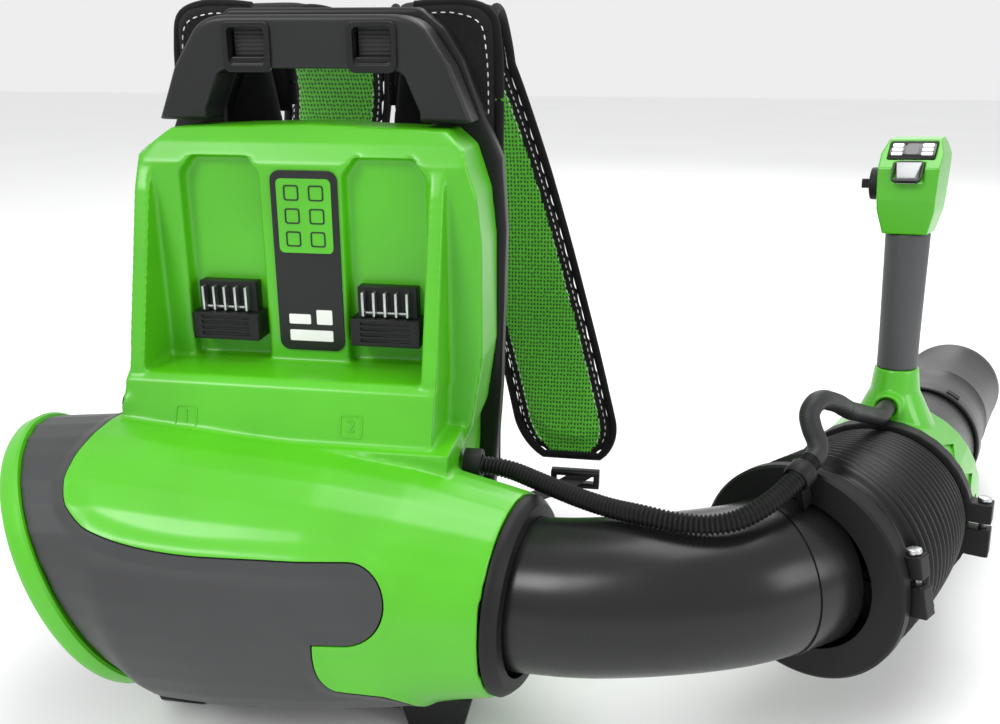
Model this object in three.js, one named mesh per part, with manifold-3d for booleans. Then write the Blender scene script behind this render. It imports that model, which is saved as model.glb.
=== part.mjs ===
// Battery backpack leaf blower: axial fan pack, elbow, bellows, blower tube with control handle, harness.
// Millimetres, +Z up. X runs to the wearer's outlet side, Y points forward (the way the wearer faces),
// and the ground is z = 0. Pieces of the swinging tube are modelled in a frame of their own.
import * as THREE from 'three';
import { mergeVertices } from 'three/addons/utils/BufferGeometryUtils.js';
import Module from 'manifold-3d';

const wasm = await Module();
wasm.setup();

// ---------------------------------------------------------------- driving dimensions
const GAP = 0.4;                 // clearance between two pieces that touch
const ROUND = 32;                // sides of a round part

const FAN_Y = -83;               // fan axis, parallel to X
const FAN_Z = 132;
const DUCT_R = 90;               // fan bore
const WALL = 4;                  // housing wall

const SHELL_TOP = 467;
const SHELL_FRONT = 58;          // where the shell meets the back frame
const SHELF_Z = 281;             // battery shelf
const SHELF_DEPTH = 62;
const BAY_WIDTH = 66;
const BAY_CENTRES = { left: -67, right: 66 };
const BAY_FACE = -12;            // rail face beside the battery bays
const FRAME_FRONT = 78;
const HANDLE_TOP = 550;

const ELBOW_R = 58;
const BELLOWS_R = 83;
const BELLOWS_CUFF_R = 73;      // rear cuff
const NECK_R = 71;               // front cuff of the bellows
const TUBE_R = 58;
const TUBE_LENGTH = 215;
const NOZZLE_LENGTH = 275;
const CABLE_R = 7.5;

const OUTLET = new THREE.Vector3(182, -91, 131);
const OUTLET_TURN = THREE.MathUtils.degToRad(-12);
const REAR_CUFF = new THREE.Vector3(400, -44, 149);
const REAR_HEADING = THREE.MathUtils.degToRad(37);
const TUBE_ROOT = new THREE.Vector3(477, 92, 140);
const TUBE_HEADING = THREE.MathUtils.degToRad(21.5);
const TUBE_PITCH = THREE.MathUtils.degToRad(-4.5);
const TUBE_ROLL = THREE.MathUtils.degToRad(-3);

const COLOURS = {
  green: [0x4fc81e, 0.42, 0],
  grey: [0x46484a, 0.5, 0],
  black: [0x1b1c1e, 0.45, 0],
  rubber: [0x222325, 0.75, 0],
  fabric: [0x17181a, 0.95, 0],
  mesh: [0x3fae22, 0.95, 0],
  steel: [0xb9bcc0, 0.35, 1],
  copper: [0xb8713a, 0.4, 1],
  silver: [0xc4c6c8, 0.35, 0.2],
  board: [0x1f5c38, 0.6, 0],
  window: [0x101214, 0.1, 0],
};

// ---------------------------------------------------------------- solids and meshes
function solid(geometry) {
  const bare = geometry.clone();
  for (const name of Object.keys(bare.attributes)) {
    if (name !== 'position') bare.deleteAttribute(name);
  }
  const merged = mergeVertices(bare, 1e-3);
  const index = merged.index.array;
  const triangles = [];
  for (let i = 0; i < index.length; i += 3) {
    const [a, b, c] = [index[i], index[i + 1], index[i + 2]];
    if (a !== b && b !== c && a !== c) triangles.push(a, b, c);
  }
  const position = merged.attributes.position.array;
  if (signedVolume(position, triangles) < 0) {
    for (let i = 0; i < triangles.length; i += 3) {
      [triangles[i + 1], triangles[i + 2]] = [triangles[i + 2], triangles[i + 1]];
    }
  }
  const mesh = new wasm.Mesh({
    numProp: 3,
    vertProperties: Float32Array.from(position),
    triVerts: Uint32Array.from(triangles),
  });
  return new wasm.Manifold(mesh);
}

function signedVolume(position, triangles) {
  const point = (i) => new THREE.Vector3().fromArray(position, 3 * i);
  let sum = 0;
  for (let i = 0; i < triangles.length; i += 3) {
    const a = point(triangles[i]);
    sum += a.dot(point(triangles[i + 1]).cross(point(triangles[i + 2])));
  }
  return sum;
}

function geometryOf(manifold) {
  const { vertProperties, triVerts, numProp } = manifold.getMesh();
  const position = new Float32Array((vertProperties.length / numProp) * 3);
  for (let i = 0; i < position.length / 3; i += 1) {
    for (let k = 0; k < 3; k += 1) position[3 * i + k] = vertProperties[numProp * i + k];
  }
  const geometry = new THREE.BufferGeometry();
  geometry.setAttribute('position', new THREE.BufferAttribute(position, 3));
  geometry.setIndex(new THREE.BufferAttribute(Uint32Array.from(triVerts), 1));
  geometry.computeVertexNormals();
  return geometry;
}

function piece(name, shape, colour) {
  const [hex, roughness, metalness] = COLOURS[colour];
  const material = new THREE.MeshStandardMaterial({ color: hex, roughness, metalness });
  const manifold = shape instanceof THREE.BufferGeometry ? solid(shape) : shape;
  const mesh = new THREE.Mesh(geometryOf(manifold), material);
  mesh.name = name;
  return mesh;
}

const join = (shapes) => shapes.reduce((all, next) => all.add(next));
const vector = (x, y, z) => new THREE.Vector3(x, y, z);

// ---------------------------------------------------------------- basic shapes
function block(x0, x1, y0, y1, z0, z1) {
  const geometry = new THREE.BoxGeometry(x1 - x0, y1 - y0, z1 - z0);
  return solid(geometry.translate((x0 + x1) / 2, (y0 + y1) / 2, (z0 + z1) / 2));
}

function outline(points) {
  return new THREE.Shape(points.map(([u, v]) => new THREE.Vector2(u, v)));
}

function roundedOutline(x0, x1, z0, z1, radius) {
  const shape = new THREE.Shape();
  shape.moveTo(x0 + radius, z0);
  shape.lineTo(x1 - radius, z0);
  shape.absarc(x1 - radius, z0 + radius, radius, -Math.PI / 2, 0);
  shape.lineTo(x1, z1 - radius);
  shape.absarc(x1 - radius, z1 - radius, radius, 0, Math.PI / 2);
  shape.lineTo(x0 + radius, z1);
  shape.absarc(x0 + radius, z1 - radius, radius, Math.PI / 2, Math.PI);
  shape.lineTo(x0, z0 + radius);
  shape.absarc(x0 + radius, z0 + radius, radius, Math.PI, 1.5 * Math.PI);
  return shape;
}

// An (x, z) outline carried along Y, a (y, z) outline along X, and an (x, y) outline along Z.
function alongY(shape, y0, y1, bevel = 0) {
  const options = { depth: y1 - y0 - 2 * bevel, curveSegments: 5, bevelEnabled: bevel > 0 };
  Object.assign(options, { bevelThickness: bevel, bevelSize: bevel, bevelOffset: -bevel, bevelSegments: 1 });
  return solid(new THREE.ExtrudeGeometry(shape, options).rotateX(Math.PI / 2).translate(0, y1 - bevel, 0));
}

function alongX(shape, x0, x1) {
  const options = { depth: x1 - x0, curveSegments: 5, bevelEnabled: false };
  const turn = new THREE.Matrix4().makeBasis(vector(0, 1, 0), vector(0, 0, 1), vector(1, 0, 0));
  return solid(new THREE.ExtrudeGeometry(shape, options).applyMatrix4(turn).translate(x0, 0, 0));
}

function alongZ(shape, z0, z1) {
  const options = { depth: z1 - z0, curveSegments: 5, bevelEnabled: false };
  return solid(new THREE.ExtrudeGeometry(shape, options).translate(0, 0, z0));
}

// A profile of [radius, distance] points turned about an axis through the origin.
function turned(profile, axis = 'y', sides = ROUND) {
  const points = profile.map(([radius, along]) => new THREE.Vector2(radius, along));
  const geometry = new THREE.LatheGeometry(points, sides);
  if (axis === 'x') geometry.rotateZ(-Math.PI / 2);
  if (axis === 'z') geometry.rotateX(Math.PI / 2);
  return solid(geometry);
}

function ring(outer, inner, start, end, axis = 'y', sides = ROUND) {
  return turned([[inner, start], [outer, start], [outer, end], [inner, end], [inner, start]], axis, sides);
}

function rod(radius, start, end, axis = 'y', sides = 16) {
  return turned([[0, start], [radius, start], [radius, end], [0, end]], axis, sides);
}

// A skin over rings. A ring is a centre, the direction it faces, two half-widths and how square it is.
function loft(rings, sides = ROUND, reference = vector(0, 0, 1), closed = false) {
  const position = [];
  for (const { centre, facing, wide, high, square = 1 } of rings) {
    const across = new THREE.Vector3().crossVectors(facing, reference).normalize();
    const upward = new THREE.Vector3().crossVectors(across, facing).normalize();
    for (let k = 0; k < sides; k += 1) {
      const angle = (2 * Math.PI * k) / sides;
      const [c, s] = [Math.cos(angle), Math.sin(angle)];
      const u = Math.sign(c) * Math.abs(c) ** square * wide;
      const v = Math.sign(s) * Math.abs(s) ** square * high;
      position.push(...centre.clone().addScaledVector(across, u).addScaledVector(upward, v).toArray());
    }
  }
  const index = [];
  for (let j = 0; j < rings.length - Number(!closed); j += 1) {
    const next = ((j + 1) % rings.length) * sides;
    for (let k = 0; k < sides; k += 1) {
      const turn = (k + 1) % sides;
      const [a, b, c, d] = [j * sides + k, j * sides + turn, next + turn, next + k];
      index.push(a, b, c, a, c, d);
    }
  }
  const last = (rings.length - 1) * sides;
  for (let k = 1; k + 1 < sides && !closed; k += 1) {
    index.push(0, k + 1, k);
    index.push(last, last + k, last + k + 1);
  }
  const geometry = new THREE.BufferGeometry();
  geometry.setAttribute('position', new THREE.Float32BufferAttribute(position, 3));
  geometry.setIndex(index);
  return solid(geometry);
}

// Rings of one radius, or of a radius that a function gives, along a curve.
function pipe(curve, radius, steps, sides = ROUND, from = 0, to = 1) {
  const rings = [];
  for (let i = 0; i <= steps; i += 1) {
    const t = from + ((to - from) * i) / steps;
    const size = typeof radius === 'function' ? radius(i / steps) : radius;
    rings.push({ centre: curve.getPointAt(t), facing: curve.getTangentAt(t), wide: size, high: size });
  }
  return loft(rings, sides);
}

// An open tube along a curve: an outer and an inner skin joined by flat ends.
function tubeShell(curve, radius, wall, steps, from = 0, to = 1, sides = ROUND) {
  const outer = typeof radius === 'function' ? radius : () => radius;
  const inner = typeof wall === 'function' ? wall : (share) => outer(share) - wall;
  const rings = [];
  const addRing = (share, size) => {
    const t = from + (to - from) * share;
    rings.push({ centre: curve.getPointAt(t), facing: curve.getTangentAt(t), wide: size, high: size });
  };
  for (let i = 0; i <= steps; i += 1) addRing(i / steps, outer(i / steps));
  for (let i = steps; i >= 0; i -= 1) addRing(i / steps, inner(i / steps));
  return loft(rings, sides, vector(0, 0, 1), true);
}

function heading(angle, pitch = 0) {
  const level = Math.cos(pitch);
  return vector(Math.sin(angle) * level, Math.cos(angle) * level, Math.sin(pitch));
}

// A matrix whose Y axis runs along a direction, with X to the right and Z upward.
function frameAt(origin, direction) {
  const right = new THREE.Vector3().crossVectors(direction, vector(0, 0, 1)).normalize();
  const upward = new THREE.Vector3().crossVectors(right, direction).normalize();
  return new THREE.Matrix4().makeBasis(right, direction.clone().normalize(), upward).setPosition(origin);
}

function placed(manifold, matrix) {
  return solid(geometryOf(manifold).applyMatrix4(matrix));
}

// ---------------------------------------------------------------- fan housing
const INTAKE = vector(-163, -73, 136);
const INTAKE_R = 113;
const INTAKE_FACING = vector(-0.889, -0.238, -0.39).normalize();

function housingRings(shrink) {
  const plan = [
    [INTAKE, INTAKE_FACING.clone().negate(), INTAKE_R],
    [vector(-110, -79, 135), vector(0.97, 0.1, 0.2), 114],
    [vector(-40, -83, 132), vector(1, 0, 0.05), 108],
    [vector(40, -85, 132), vector(1, 0, 0), 102],
    [vector(105, -87, 132), vector(1, -0.06, 0), 93],
    [vector(150, -88, 131.5), vector(1, -0.15, 0), 83],
    [OUTLET, vector(Math.cos(OUTLET_TURN), Math.sin(OUTLET_TURN), 0), 77],
  ];
  return plan.map(([centre, facing, radius], i) => {
    const past = i === 0 ? -1 : Number(i === plan.length - 1);
    const shifted = centre.clone().addScaledVector(facing.clone().normalize(), shrink > 0 ? past : 0);
    return { centre: shifted, facing, wide: radius - shrink, high: radius - shrink };
  });
}

// The dark cowl's edge, seen from behind: it sweeps down under the ledge to a pill-shaped end.
function cowlOutline(inset) {
  const shape = new THREE.Shape();
  const endRadius = 28 - inset;
  shape.moveTo(-300, 290);
  shape.lineTo(-136 - inset, 290);
  shape.lineTo(-136 - inset, 258);
  shape.quadraticCurveTo(-160, 222 - inset, -118, 204 - inset);
  shape.quadraticCurveTo(-80, 191 - inset, -30, 190 - inset);
  shape.lineTo(75, 190 - inset);
  shape.absarc(75, 162, endRadius, Math.PI / 2, -Math.PI / 2, true);
  shape.lineTo(54 - inset, 134 + inset);
  shape.quadraticCurveTo(52 - inset, 100, 66, 92 - inset);
  shape.lineTo(98 - inset, 86 - inset);
  shape.quadraticCurveTo(118 - inset, 76, 124 - inset, 40);
  shape.lineTo(128 - inset, -10);
  shape.lineTo(-300, -10);
  return shape;
}

function upperBody() {
  const front = outline([[-112, SHELL_TOP - 2], [0, SHELL_TOP + 2], [112, SHELL_TOP - 2], [127, 452],
    [138, 418], [142, 380], [142, 290], [134, 235], [116, 190], [-116, 190], [-134, 235], [-140, 290],
    [-140, 380], [-136, 418], [-127, 452]]);
  const side = outline([[SHELL_FRONT, SHELL_TOP + 6], [14, SHELL_TOP + 6], [-2, 456], [BAY_FACE, 440],
    [BAY_FACE, SHELF_Z], [-26, 190], [SHELL_FRONT, 190]]);
  return alongY(front, -100, SHELL_FRONT).intersect(alongX(side, -160, 160));
}

function ledge() {
  const side = outline([[20, SHELF_Z], [-SHELF_DEPTH + 6, SHELF_Z], [-SHELF_DEPTH, SHELF_Z - 5],
    [-83, 214], [-77, 200], [-50, 190], [20, 190]]);
  const plan = roundedOutline(-136, 114, -100, 40, 18);
  return alongX(side, -140, 130).intersect(alongZ(plan, 150, 300));
}

function bayWall(x0, x1) {
  const side = outline([[10, 452], [-8, 446], [-20, 420], [-SHELF_DEPTH + 4, SHELF_Z + 4],
    [-SHELF_DEPTH + 4, SHELF_Z - 6], [10, SHELF_Z - 6]]);
  return alongX(side, x0, x1);
}

function saddle() {
  const front = outline([[-128, 236], [128, 236], [124, 60], [104, 36], [-104, 36], [-128, 60]]);
  return alongY(front, FAN_Y, SHELL_FRONT);
}

function housingBlock() {
  const walls = [bayWall(-134, -122), bayWall(103, 115)];
  const outer = join([loft(housingRings(0)), upperBody(), ledge(), saddle(), ...walls]);
  const bays = Object.values(BAY_CENTRES).map((x) => {
    const pocket = outline([[x - BAY_WIDTH / 2, SHELF_Z + GAP], [x + BAY_WIDTH / 2, SHELF_Z + GAP],
      [x + BAY_WIDTH / 2, 432], [x + BAY_WIDTH / 2 - 10, 446], [x - BAY_WIDTH / 2 + 10, 446],
      [x - BAY_WIDTH / 2, 432]]);
    return alongY(pocket, -50, 0);
  });
  const electronics = block(-112, 112, 12, SHELL_FRONT + 1, 250, 455);
  const lowerHollow = block(-112, 112, -20, SHELL_FRONT + 1, 60, 200);
  const cableHole = rod(8.4, 90, 150, 'x').add(rod(13.6, GLAND.x - GAP, 160, 'x'));
  return outer.subtract(join([...bays, electronics, loft(housingRings(WALL))]))
    .subtract(lowerHollow).subtract(cableHole.translate([0, GLAND.y, GLAND.z]));
}

function housing() {
  const whole = housingBlock();
  const shell = whole.subtract(alongY(cowlOutline(0), -300, 100));
  const cowl = whole.intersect(alongY(cowlOutline(GAP), -300, 100));
  return [piece('rear_shell', largest(shell), 'green'), piece('fan_cowl', largest(cowl), 'grey')];
}

// Keeps the main body of a cut piece and drops slivers.
function largest(manifold) {
  const bodies = manifold.decompose();
  return bodies.reduce((best, next) => (next.volume() > best.volume() ? next : best));
}

function intakeParts() {
  const frame = frameAt(INTAKE, INTAKE_FACING);
  const rim = ring(117, 103, GAP, 16, 'y');
  const bars = [];
  for (const radius of [40, 72]) bars.push(ring(radius + 1.8, radius - 1.8, 3, 8, 'y', 20));
  for (let k = 0; k < 4; k += 1) {
    const spoke = new THREE.BoxGeometry(205, 5, 3.4).translate(0, 5.5, 0).rotateY((k * Math.PI) / 4);
    bars.push(solid(spoke));
  }
  const grille = join([...bars, ring(102.6, 98, 2, 10, 'y', 32)]).intersect(rod(102.6, 0, 20, 'y', 32));
  return [
    piece('intake_ring', placed(rim, frame), 'green'),
    piece('intake_grille', placed(grille, frame), 'black'),
  ];
}

// ---------------------------------------------------------------- fan and motor
const ROTOR_X = -52;
const BLADES = 9;

function fanBlades() {
  const blades = [];
  for (let k = 0; k < BLADES; k += 1) {
    const blade = new THREE.BoxGeometry(34, 3.2, DUCT_R - 28).translate(0, 0, (DUCT_R + 20) / 2);
    blade.rotateZ(THREE.MathUtils.degToRad(38)).rotateX((2 * Math.PI * k) / BLADES);
    blades.push(solid(blade));
  }
  return blades;
}

function fanAndMotor() {
  const at = (shape, x = 0) => shape.translate([x, FAN_Y, FAN_Z]);
  const duct = ring(DUCT_R + 4, DUCT_R + 0.5, -95, 46, 'x');
  const hub = turned([[0, -24], [16, -22], [30, -10], [34, 14], [7, 14], [7, 2], [0, 2]], 'x', 24);
  const rotorCut = ring(DUCT_R + 30, DUCT_R - 2, -40, 40, 'x');
  const rotor = join([hub, ...fanBlades()]).subtract(rotorCut).subtract(rod(7, 1.9, 40, 'x', 24));
  const vanes = [];
  for (let k = 0; k < 7; k += 1) {
    const vane = new THREE.BoxGeometry(36, 3, DUCT_R - 34).translate(22, 0, (DUCT_R + 34) / 2);
    vanes.push(solid(vane.rotateX((2 * Math.PI * k) / 7)));
  }
  const can = ring(38, 34.5, -6, 52, 'x').add(ring(38, 12.5, 52, 56, 'x'));
  const mount = join([can, ...vanes]).subtract(ring(DUCT_R + 20, DUCT_R + 0.1, -20, 80, 'x'));
  const stator = ring(34, 19, 4, 46, 'x');
  const magnet = ring(17.5, 4.4, 8, 42, 'x', 24);
  const shaft = rod(4, -36, 62, 'x', 12);
  const bearing = (x) => ring(11.5, 4.4, x, x + 5, 'x', 24);
  return [
    piece('fan_duct', at(duct), 'black'),
    piece('fan_rotor', at(rotor, ROTOR_X), 'black'),
    piece('motor_mount', at(mount), 'black'),
    piece('motor_stator', at(stator), 'copper'),
    piece('motor_magnet', at(magnet), 'steel'),
    piece('motor_shaft', at(shaft), 'steel'),
    piece('front_bearing', at(bearing(-6)), 'steel'),
    piece('rear_bearing', at(bearing(46.5)), 'steel'),
  ];
}

// ---------------------------------------------------------------- battery terminals and electronics
function terminalParts(side) {
  const x = BAY_CENTRES[side];
  const body = block(x - 28, x + 28, -22, -GAP, 300, 322).add(block(x - 24, x + 24, -12, -GAP, 321, 346));
  const slots = [];
  for (let k = 0; k < 4; k += 1) slots.push(block(x - 20, x + 20, -24, -20, 303.5 + 4.6 * k, 306 + 4.6 * k));
  const blades = [block(x - 19, x + 19, -14.5, -12.4, 324, 326.5)];
  for (let k = 0; k < 5; k += 1) {
    const bladeX = x - 18 + 9 * k;
    blades.push(block(bladeX - 1, bladeX + 1, -20, -12.4, 324, 343));
  }
  return [
    piece(`terminal_block_${side}`, body.subtract(join(slots)), 'black'),
    piece(`contact_blades_${side}`, join(blades), 'steel'),
  ];
}

function electronics() {
  const board = block(-70, 70, 30, 32, 290, 400);
  const fins = [block(-34, 34, 33, 36, 310, 380)];
  for (let k = 0; k < 8; k += 1) fins.push(block(-34 + 9.4 * k, -31.8 + 9.4 * k, 35.5, 50, 310, 380));
  const label = alongY(roundedOutline(-24, 30, 292, 436, 8), BAY_FACE - 2.4, BAY_FACE - GAP);
  return [piece('controller_board', board, 'board'), piece('heat_sink', join(fins), 'steel'),
    piece('label_plate', label, 'grey')];
}

// ---------------------------------------------------------------- frame, handle and feet
const SCREW_PLACES = [[-126, 300], [126, 300]];

function archOutline(grow) {
  const shape = outline([[-129 - grow, SHELL_TOP + 3], [-112 - grow, 512], [-97 - grow, 534]]);
  shape.quadraticCurveTo(-89, HANDLE_TOP + grow, -66, HANDLE_TOP + grow);
  shape.lineTo(66, HANDLE_TOP + grow);
  shape.quadraticCurveTo(89, HANDLE_TOP + grow, 97 + grow, 534);
  shape.lineTo(112 + grow, 512);
  shape.lineTo(129 + grow, SHELL_TOP + 3);
  return shape;
}

function handOpening() {
  return outline([[-88, 440], [-88, 478], [-76, 506], [-66, 510],
    [66, 510], [76, 506], [88, 478], [88, 440]]);
}

function carryHandle() {
  const opening = alongY(handOpening(), -20, 100);
  const windows = [-49, 52].map((x) => alongY(roundedOutline(x - 15, x + 15, 515, 541, 4), 10, 40));
  const feet = block(-88, 88, 10, 60, 460, 479);
  return alongY(archOutline(0), 20, SHELL_FRONT - GAP, 3).subtract(join([opening, feet, ...windows]));
}

function backFrame() {
  const plate = outline([[-120, 34], [120, 34], [134, 70], [146, 240], [150, 380], [146, 440], [133, 470],
    [116, 516], [101, 540], [80, 556], [-80, 556], [-101, 540], [-116, 516], [-133, 470], [-146, 440],
    [-150, 380], [-146, 240], [-134, 70]]);
  const opening = alongY(handOpening(), 40, 100);
  const screws = SCREW_PLACES.map(([x, z]) => rod(4.5, 40, 100, 'y', 12).translate([x, 0, z]));
  return alongY(plate, SHELL_FRONT + GAP, FRAME_FRONT, 2).subtract(join([opening, ...screws]));
}

function housingScrews() {
  return SCREW_PLACES.map(([x, z], i) => {
    const screw = rod(4, SHELL_FRONT + 1, FRAME_FRONT - 3, 'y', 12);
    const socket = rod(2, FRAME_FRONT - 6, FRAME_FRONT, 'y', 6);
    return piece(`housing_screw_${i + 1}`, screw.subtract(socket).translate([x, 0, z]), 'steel');
  });
}

function baseAndFeet() {
  const rimSpace = placed(rod(118, -4, 24, 'y', ROUND), frameAt(INTAKE, INTAKE_FACING));
  const clear = loft(housingRings(-GAP)).add(rimSpace);
  const bar = block(-71, 85, -84, 52, 10, 30).subtract(clear);
  const foot = (x0, x1) => {
    const shape = outline([[x0 + 9, 0], [x1 - 9, 0], [x1, 34], [x0, 34]]);
    return alongY(shape, -96, 56, 2).subtract(clear);
  };
  return [
    piece('base_bar', largest(bar), 'black'),
    piece('foot_left', largest(foot(-130, -72)), 'black'),
    piece('foot_right', largest(foot(86, 148)), 'black'),
  ];
}

// ---------------------------------------------------------------- elbow and bellows
const elbowCurve = new THREE.CatmullRomCurve3([
  vector(180, -90.6, 131.5), vector(232, -99, 138), vector(286, -99, 146),
  vector(338, -86, 150), vector(370, -67, 150), vector(396, -46, 149),
]);

const bellowsCurve = new THREE.CubicBezierCurve3(
  REAR_CUFF.clone().addScaledVector(heading(REAR_HEADING), -4),
  REAR_CUFF.clone().addScaledVector(heading(REAR_HEADING), 55),
  TUBE_ROOT.clone().addScaledVector(heading(TUBE_HEADING, TUBE_PITCH), -58),
  TUBE_ROOT.clone().addScaledVector(heading(TUBE_HEADING, TUBE_PITCH), -2),
);

function elbowParts() {
  const outletFrame = frameAt(OUTLET, vector(Math.cos(OUTLET_TURN), Math.sin(OUTLET_TURN), 0));
  const bore = ELBOW_R + 3;
  const collar = turned([[bore, GAP], [76, GAP], [76, 5], [70, 11], [bore, 11], [bore, GAP]]);
  const tube = tubeShell(elbowCurve, ELBOW_R, 3, 9);
  return [piece('outlet_collar', placed(collar, outletFrame), 'black'), piece('elbow_tube', tube, 'black')];
}

// A split ring clamp with two lugs, and the screw and nut that close it, in its own frame.
function clamp(name, outer, inner, start, end, frame, roll = 0) {
  const middle = (start + end) / 2;
  const lug = (z0, z1) => block(outer - 3, outer + 14, start, end, z0, z1);
  const band = ring(outer, inner, start, end, 'y');
  const lugs = lug(3, 20).add(lug(-26, -3)).subtract(rod(inner, start - 9, end + 9, 'y'));
  const bore = rod(3.2, -40, 40, 'z', 12).translate([outer + 7, middle, 0]);
  const pocket = rod(5.6, -30, -20, 'z', 6).translate([outer + 7, middle, 0]);
  const slit = block(inner - 4, outer + 20, start - 5, end + 9, -3, 3);
  const clampBody = band.add(lugs).subtract(join([bore, pocket, slit]));
  const head = rod(5.4, 20.4, 24, 'z', 12);
  const screw = rod(2.7, -25, 21, 'z', 12).add(head).translate([outer + 7, middle, 0]);
  const nut = ring(5.1, 3.4, -25, -20.6, 'z', 6).translate([outer + 7, middle, 0]);
  const rolled = frame.clone().multiply(new THREE.Matrix4().makeRotationY(roll));
  return [
    piece(`${name}_clamp`, placed(clampBody, rolled), 'black'),
    piece(`${name}_clamp_screw`, placed(screw, rolled), 'steel'),
    piece(`${name}_clamp_nut`, placed(nut, rolled), 'steel'),
  ];
}

// A length of bellows between two shares of the curve, with ribs, hollow inside.
function bellowsPart(from, to, ribs, cuffAtStart, cuffAtEnd) {
  const outerRadius = (share) => {
    const t = from + (to - from) * share;
    const crest = THREE.MathUtils.lerp(BELLOWS_R, NECK_R + 2, t);
    const phase = share * ribs * 2;
    const inCuff = (cuffAtStart && share < 0.26) || (cuffAtEnd && share > 0.86);
    if (inCuff) return cuffAtStart ? BELLOWS_CUFF_R : NECK_R;
    return Math.round(phase) % 2 === 0 ? crest - 4.2 : crest;
  };
  const innerRadius = (share) => {
    const t = from + (to - from) * share;
    return THREE.MathUtils.lerp(BELLOWS_CUFF_R - 3.8, NECK_R - 3.2, t);
  };
  return tubeShell(bellowsCurve, outerRadius, innerRadius, ribs * 2, from, to, 24);
}

const CLAMP_ROLL = THREE.MathUtils.degToRad(-14);

function bellowsParts() {
  const rearFrame = frameAt(REAR_CUFF, heading(REAR_HEADING));
  const disc = ring(84, ELBOW_R + 1.2, -16, -5, 'y');
  const sleeve = ring(BELLOWS_CUFF_R - 6.2, ELBOW_R + 1.2, -6, 14);
  const collar = disc.add(sleeve).subtract(placedInverse(rearFrame));
  return [
    piece('swivel_collar', placed(collar, rearFrame), 'black'),
    ...clamp('rear', BELLOWS_CUFF_R + 5, BELLOWS_CUFF_R + 1.4, -4.5, 9, rearFrame, CLAMP_ROLL),
    piece('bellows_rear', bellowsPart(0.004, 0.455, 6, true, false), 'rubber'),
    piece('bellows_middle', bellowsPart(0.46, 0.54, 1, false, false), 'rubber'),
    piece('bellows_front', bellowsPart(0.545, 0.985, 5, false, true), 'rubber'),
  ];
}

// The elbow's skin, grown by the clearance and seen from the rear cuff's frame.
function placedInverse(frame) {
  return placed(pipe(elbowCurve, ELBOW_R + GAP, 16), frame.clone().invert());
}

// ---------------------------------------------------------------- blower tube and handle (tube frame)
const HANDLE_ALONG = 46;
const SADDLE_R = 68;
const GRIP_LOW = 117;
const GRIP_HIGH = 236;
const HEAD_TOP = 318;

function tubeParts() {
  const start = -16;
  const wall = 2.6;
  const outside = [[NECK_R - 4, start], [NECK_R - 4, 12], [TUBE_R - 1, 40], [TUBE_R - 1, TUBE_LENGTH + 28]];
  const inside = outside.map(([radius, along]) => [radius - wall, along]).reverse();
  const tube = turned([...outside, ...inside, outside[0]]);
  const root = TUBE_LENGTH;
  const mouth = TUBE_LENGTH + NOZZLE_LENGTH;
  const nozzle = turned([[TUBE_R - 0.4, root], [TUBE_R + 3, root], [TUBE_R + 3, root + 30],
    [TUBE_R, root + 60], [TUBE_R - 2, mouth], [TUBE_R - 5, mouth], [TUBE_R - 3, root + 60],
    [TUBE_R - 0.4, root + 30], [TUBE_R - 0.4, root]]);
  return { tube: piece('blower_tube', tube, 'black'), nozzle: piece('nozzle', nozzle, 'black') };
}

const BOSS = { x: 0, z: 87 };

function handleBracket() {
  const band = ring(SADDLE_R + 6, SADDLE_R, 10, 84, 'y').subtract(block(-90, 90, 0, 100, -100, -14));
  const neck = loft([
    { centre: vector(0, HANDLE_ALONG + 2, 50), facing: vector(0, 0, 1), wide: 42, high: 34, square: 0.8 },
    { centre: vector(0, HANDLE_ALONG + 2, 76), facing: vector(0, 0, 1), wide: 30, high: 32, square: 0.8 },
    { centre: vector(0, HANDLE_ALONG, 96), facing: vector(0, 0, 1), wide: 21, high: 26 },
    { centre: vector(0, HANDLE_ALONG, GRIP_LOW - GAP), facing: vector(0, 0, 1), wide: 18.5, high: 22 },
  ], 28, vector(0, 1, 0));
  const boss = rod(11.5, 8, 26, 'y', 20).translate([BOSS.x, 0, BOSS.z]);
  const bore = rod(CABLE_R + 1.2, -20, 16, 'y', 20).translate([BOSS.x, 0, BOSS.z]);
  const inside = rod(SADDLE_R, -20, 100, 'y', ROUND);
  const coreHole = block(-9.4, 9.4, HANDLE_ALONG - 11.4, HANDLE_ALONG + 11.4, 96, GRIP_LOW + 5);
  return band.add(neck).add(boss).subtract(join([inside, bore, coreHole]));
}

function handleParts() {
  const sections = [[GRIP_LOW, 17, 21], [GRIP_LOW + 30, 17, 22], [GRIP_HIGH - 40, 17.8, 21],
    [GRIP_HIGH, 18.5, 21]];
  const grip = loft(sections.map(([z, wide, high]) => (
    { centre: vector(0, HANDLE_ALONG, z), facing: vector(0, 0, 1), wide, high }
  )), 28, vector(0, 1, 0));
  const coreSpace = block(-9, 9, HANDLE_ALONG - 11, HANDLE_ALONG + 11, 60, 400);
  const core = block(-8.6, 8.6, HANDLE_ALONG - 10.6, HANDLE_ALONG + 10.6, 97, GRIP_HIGH + 18);
  return [
    piece('grip_sleeve', grip.subtract(coreSpace), 'rubber'),
    piece('handle_core', core, 'green'),
    piece('control_head', controlHead(), 'green'),
    ...controls(),
  ];
}

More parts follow.
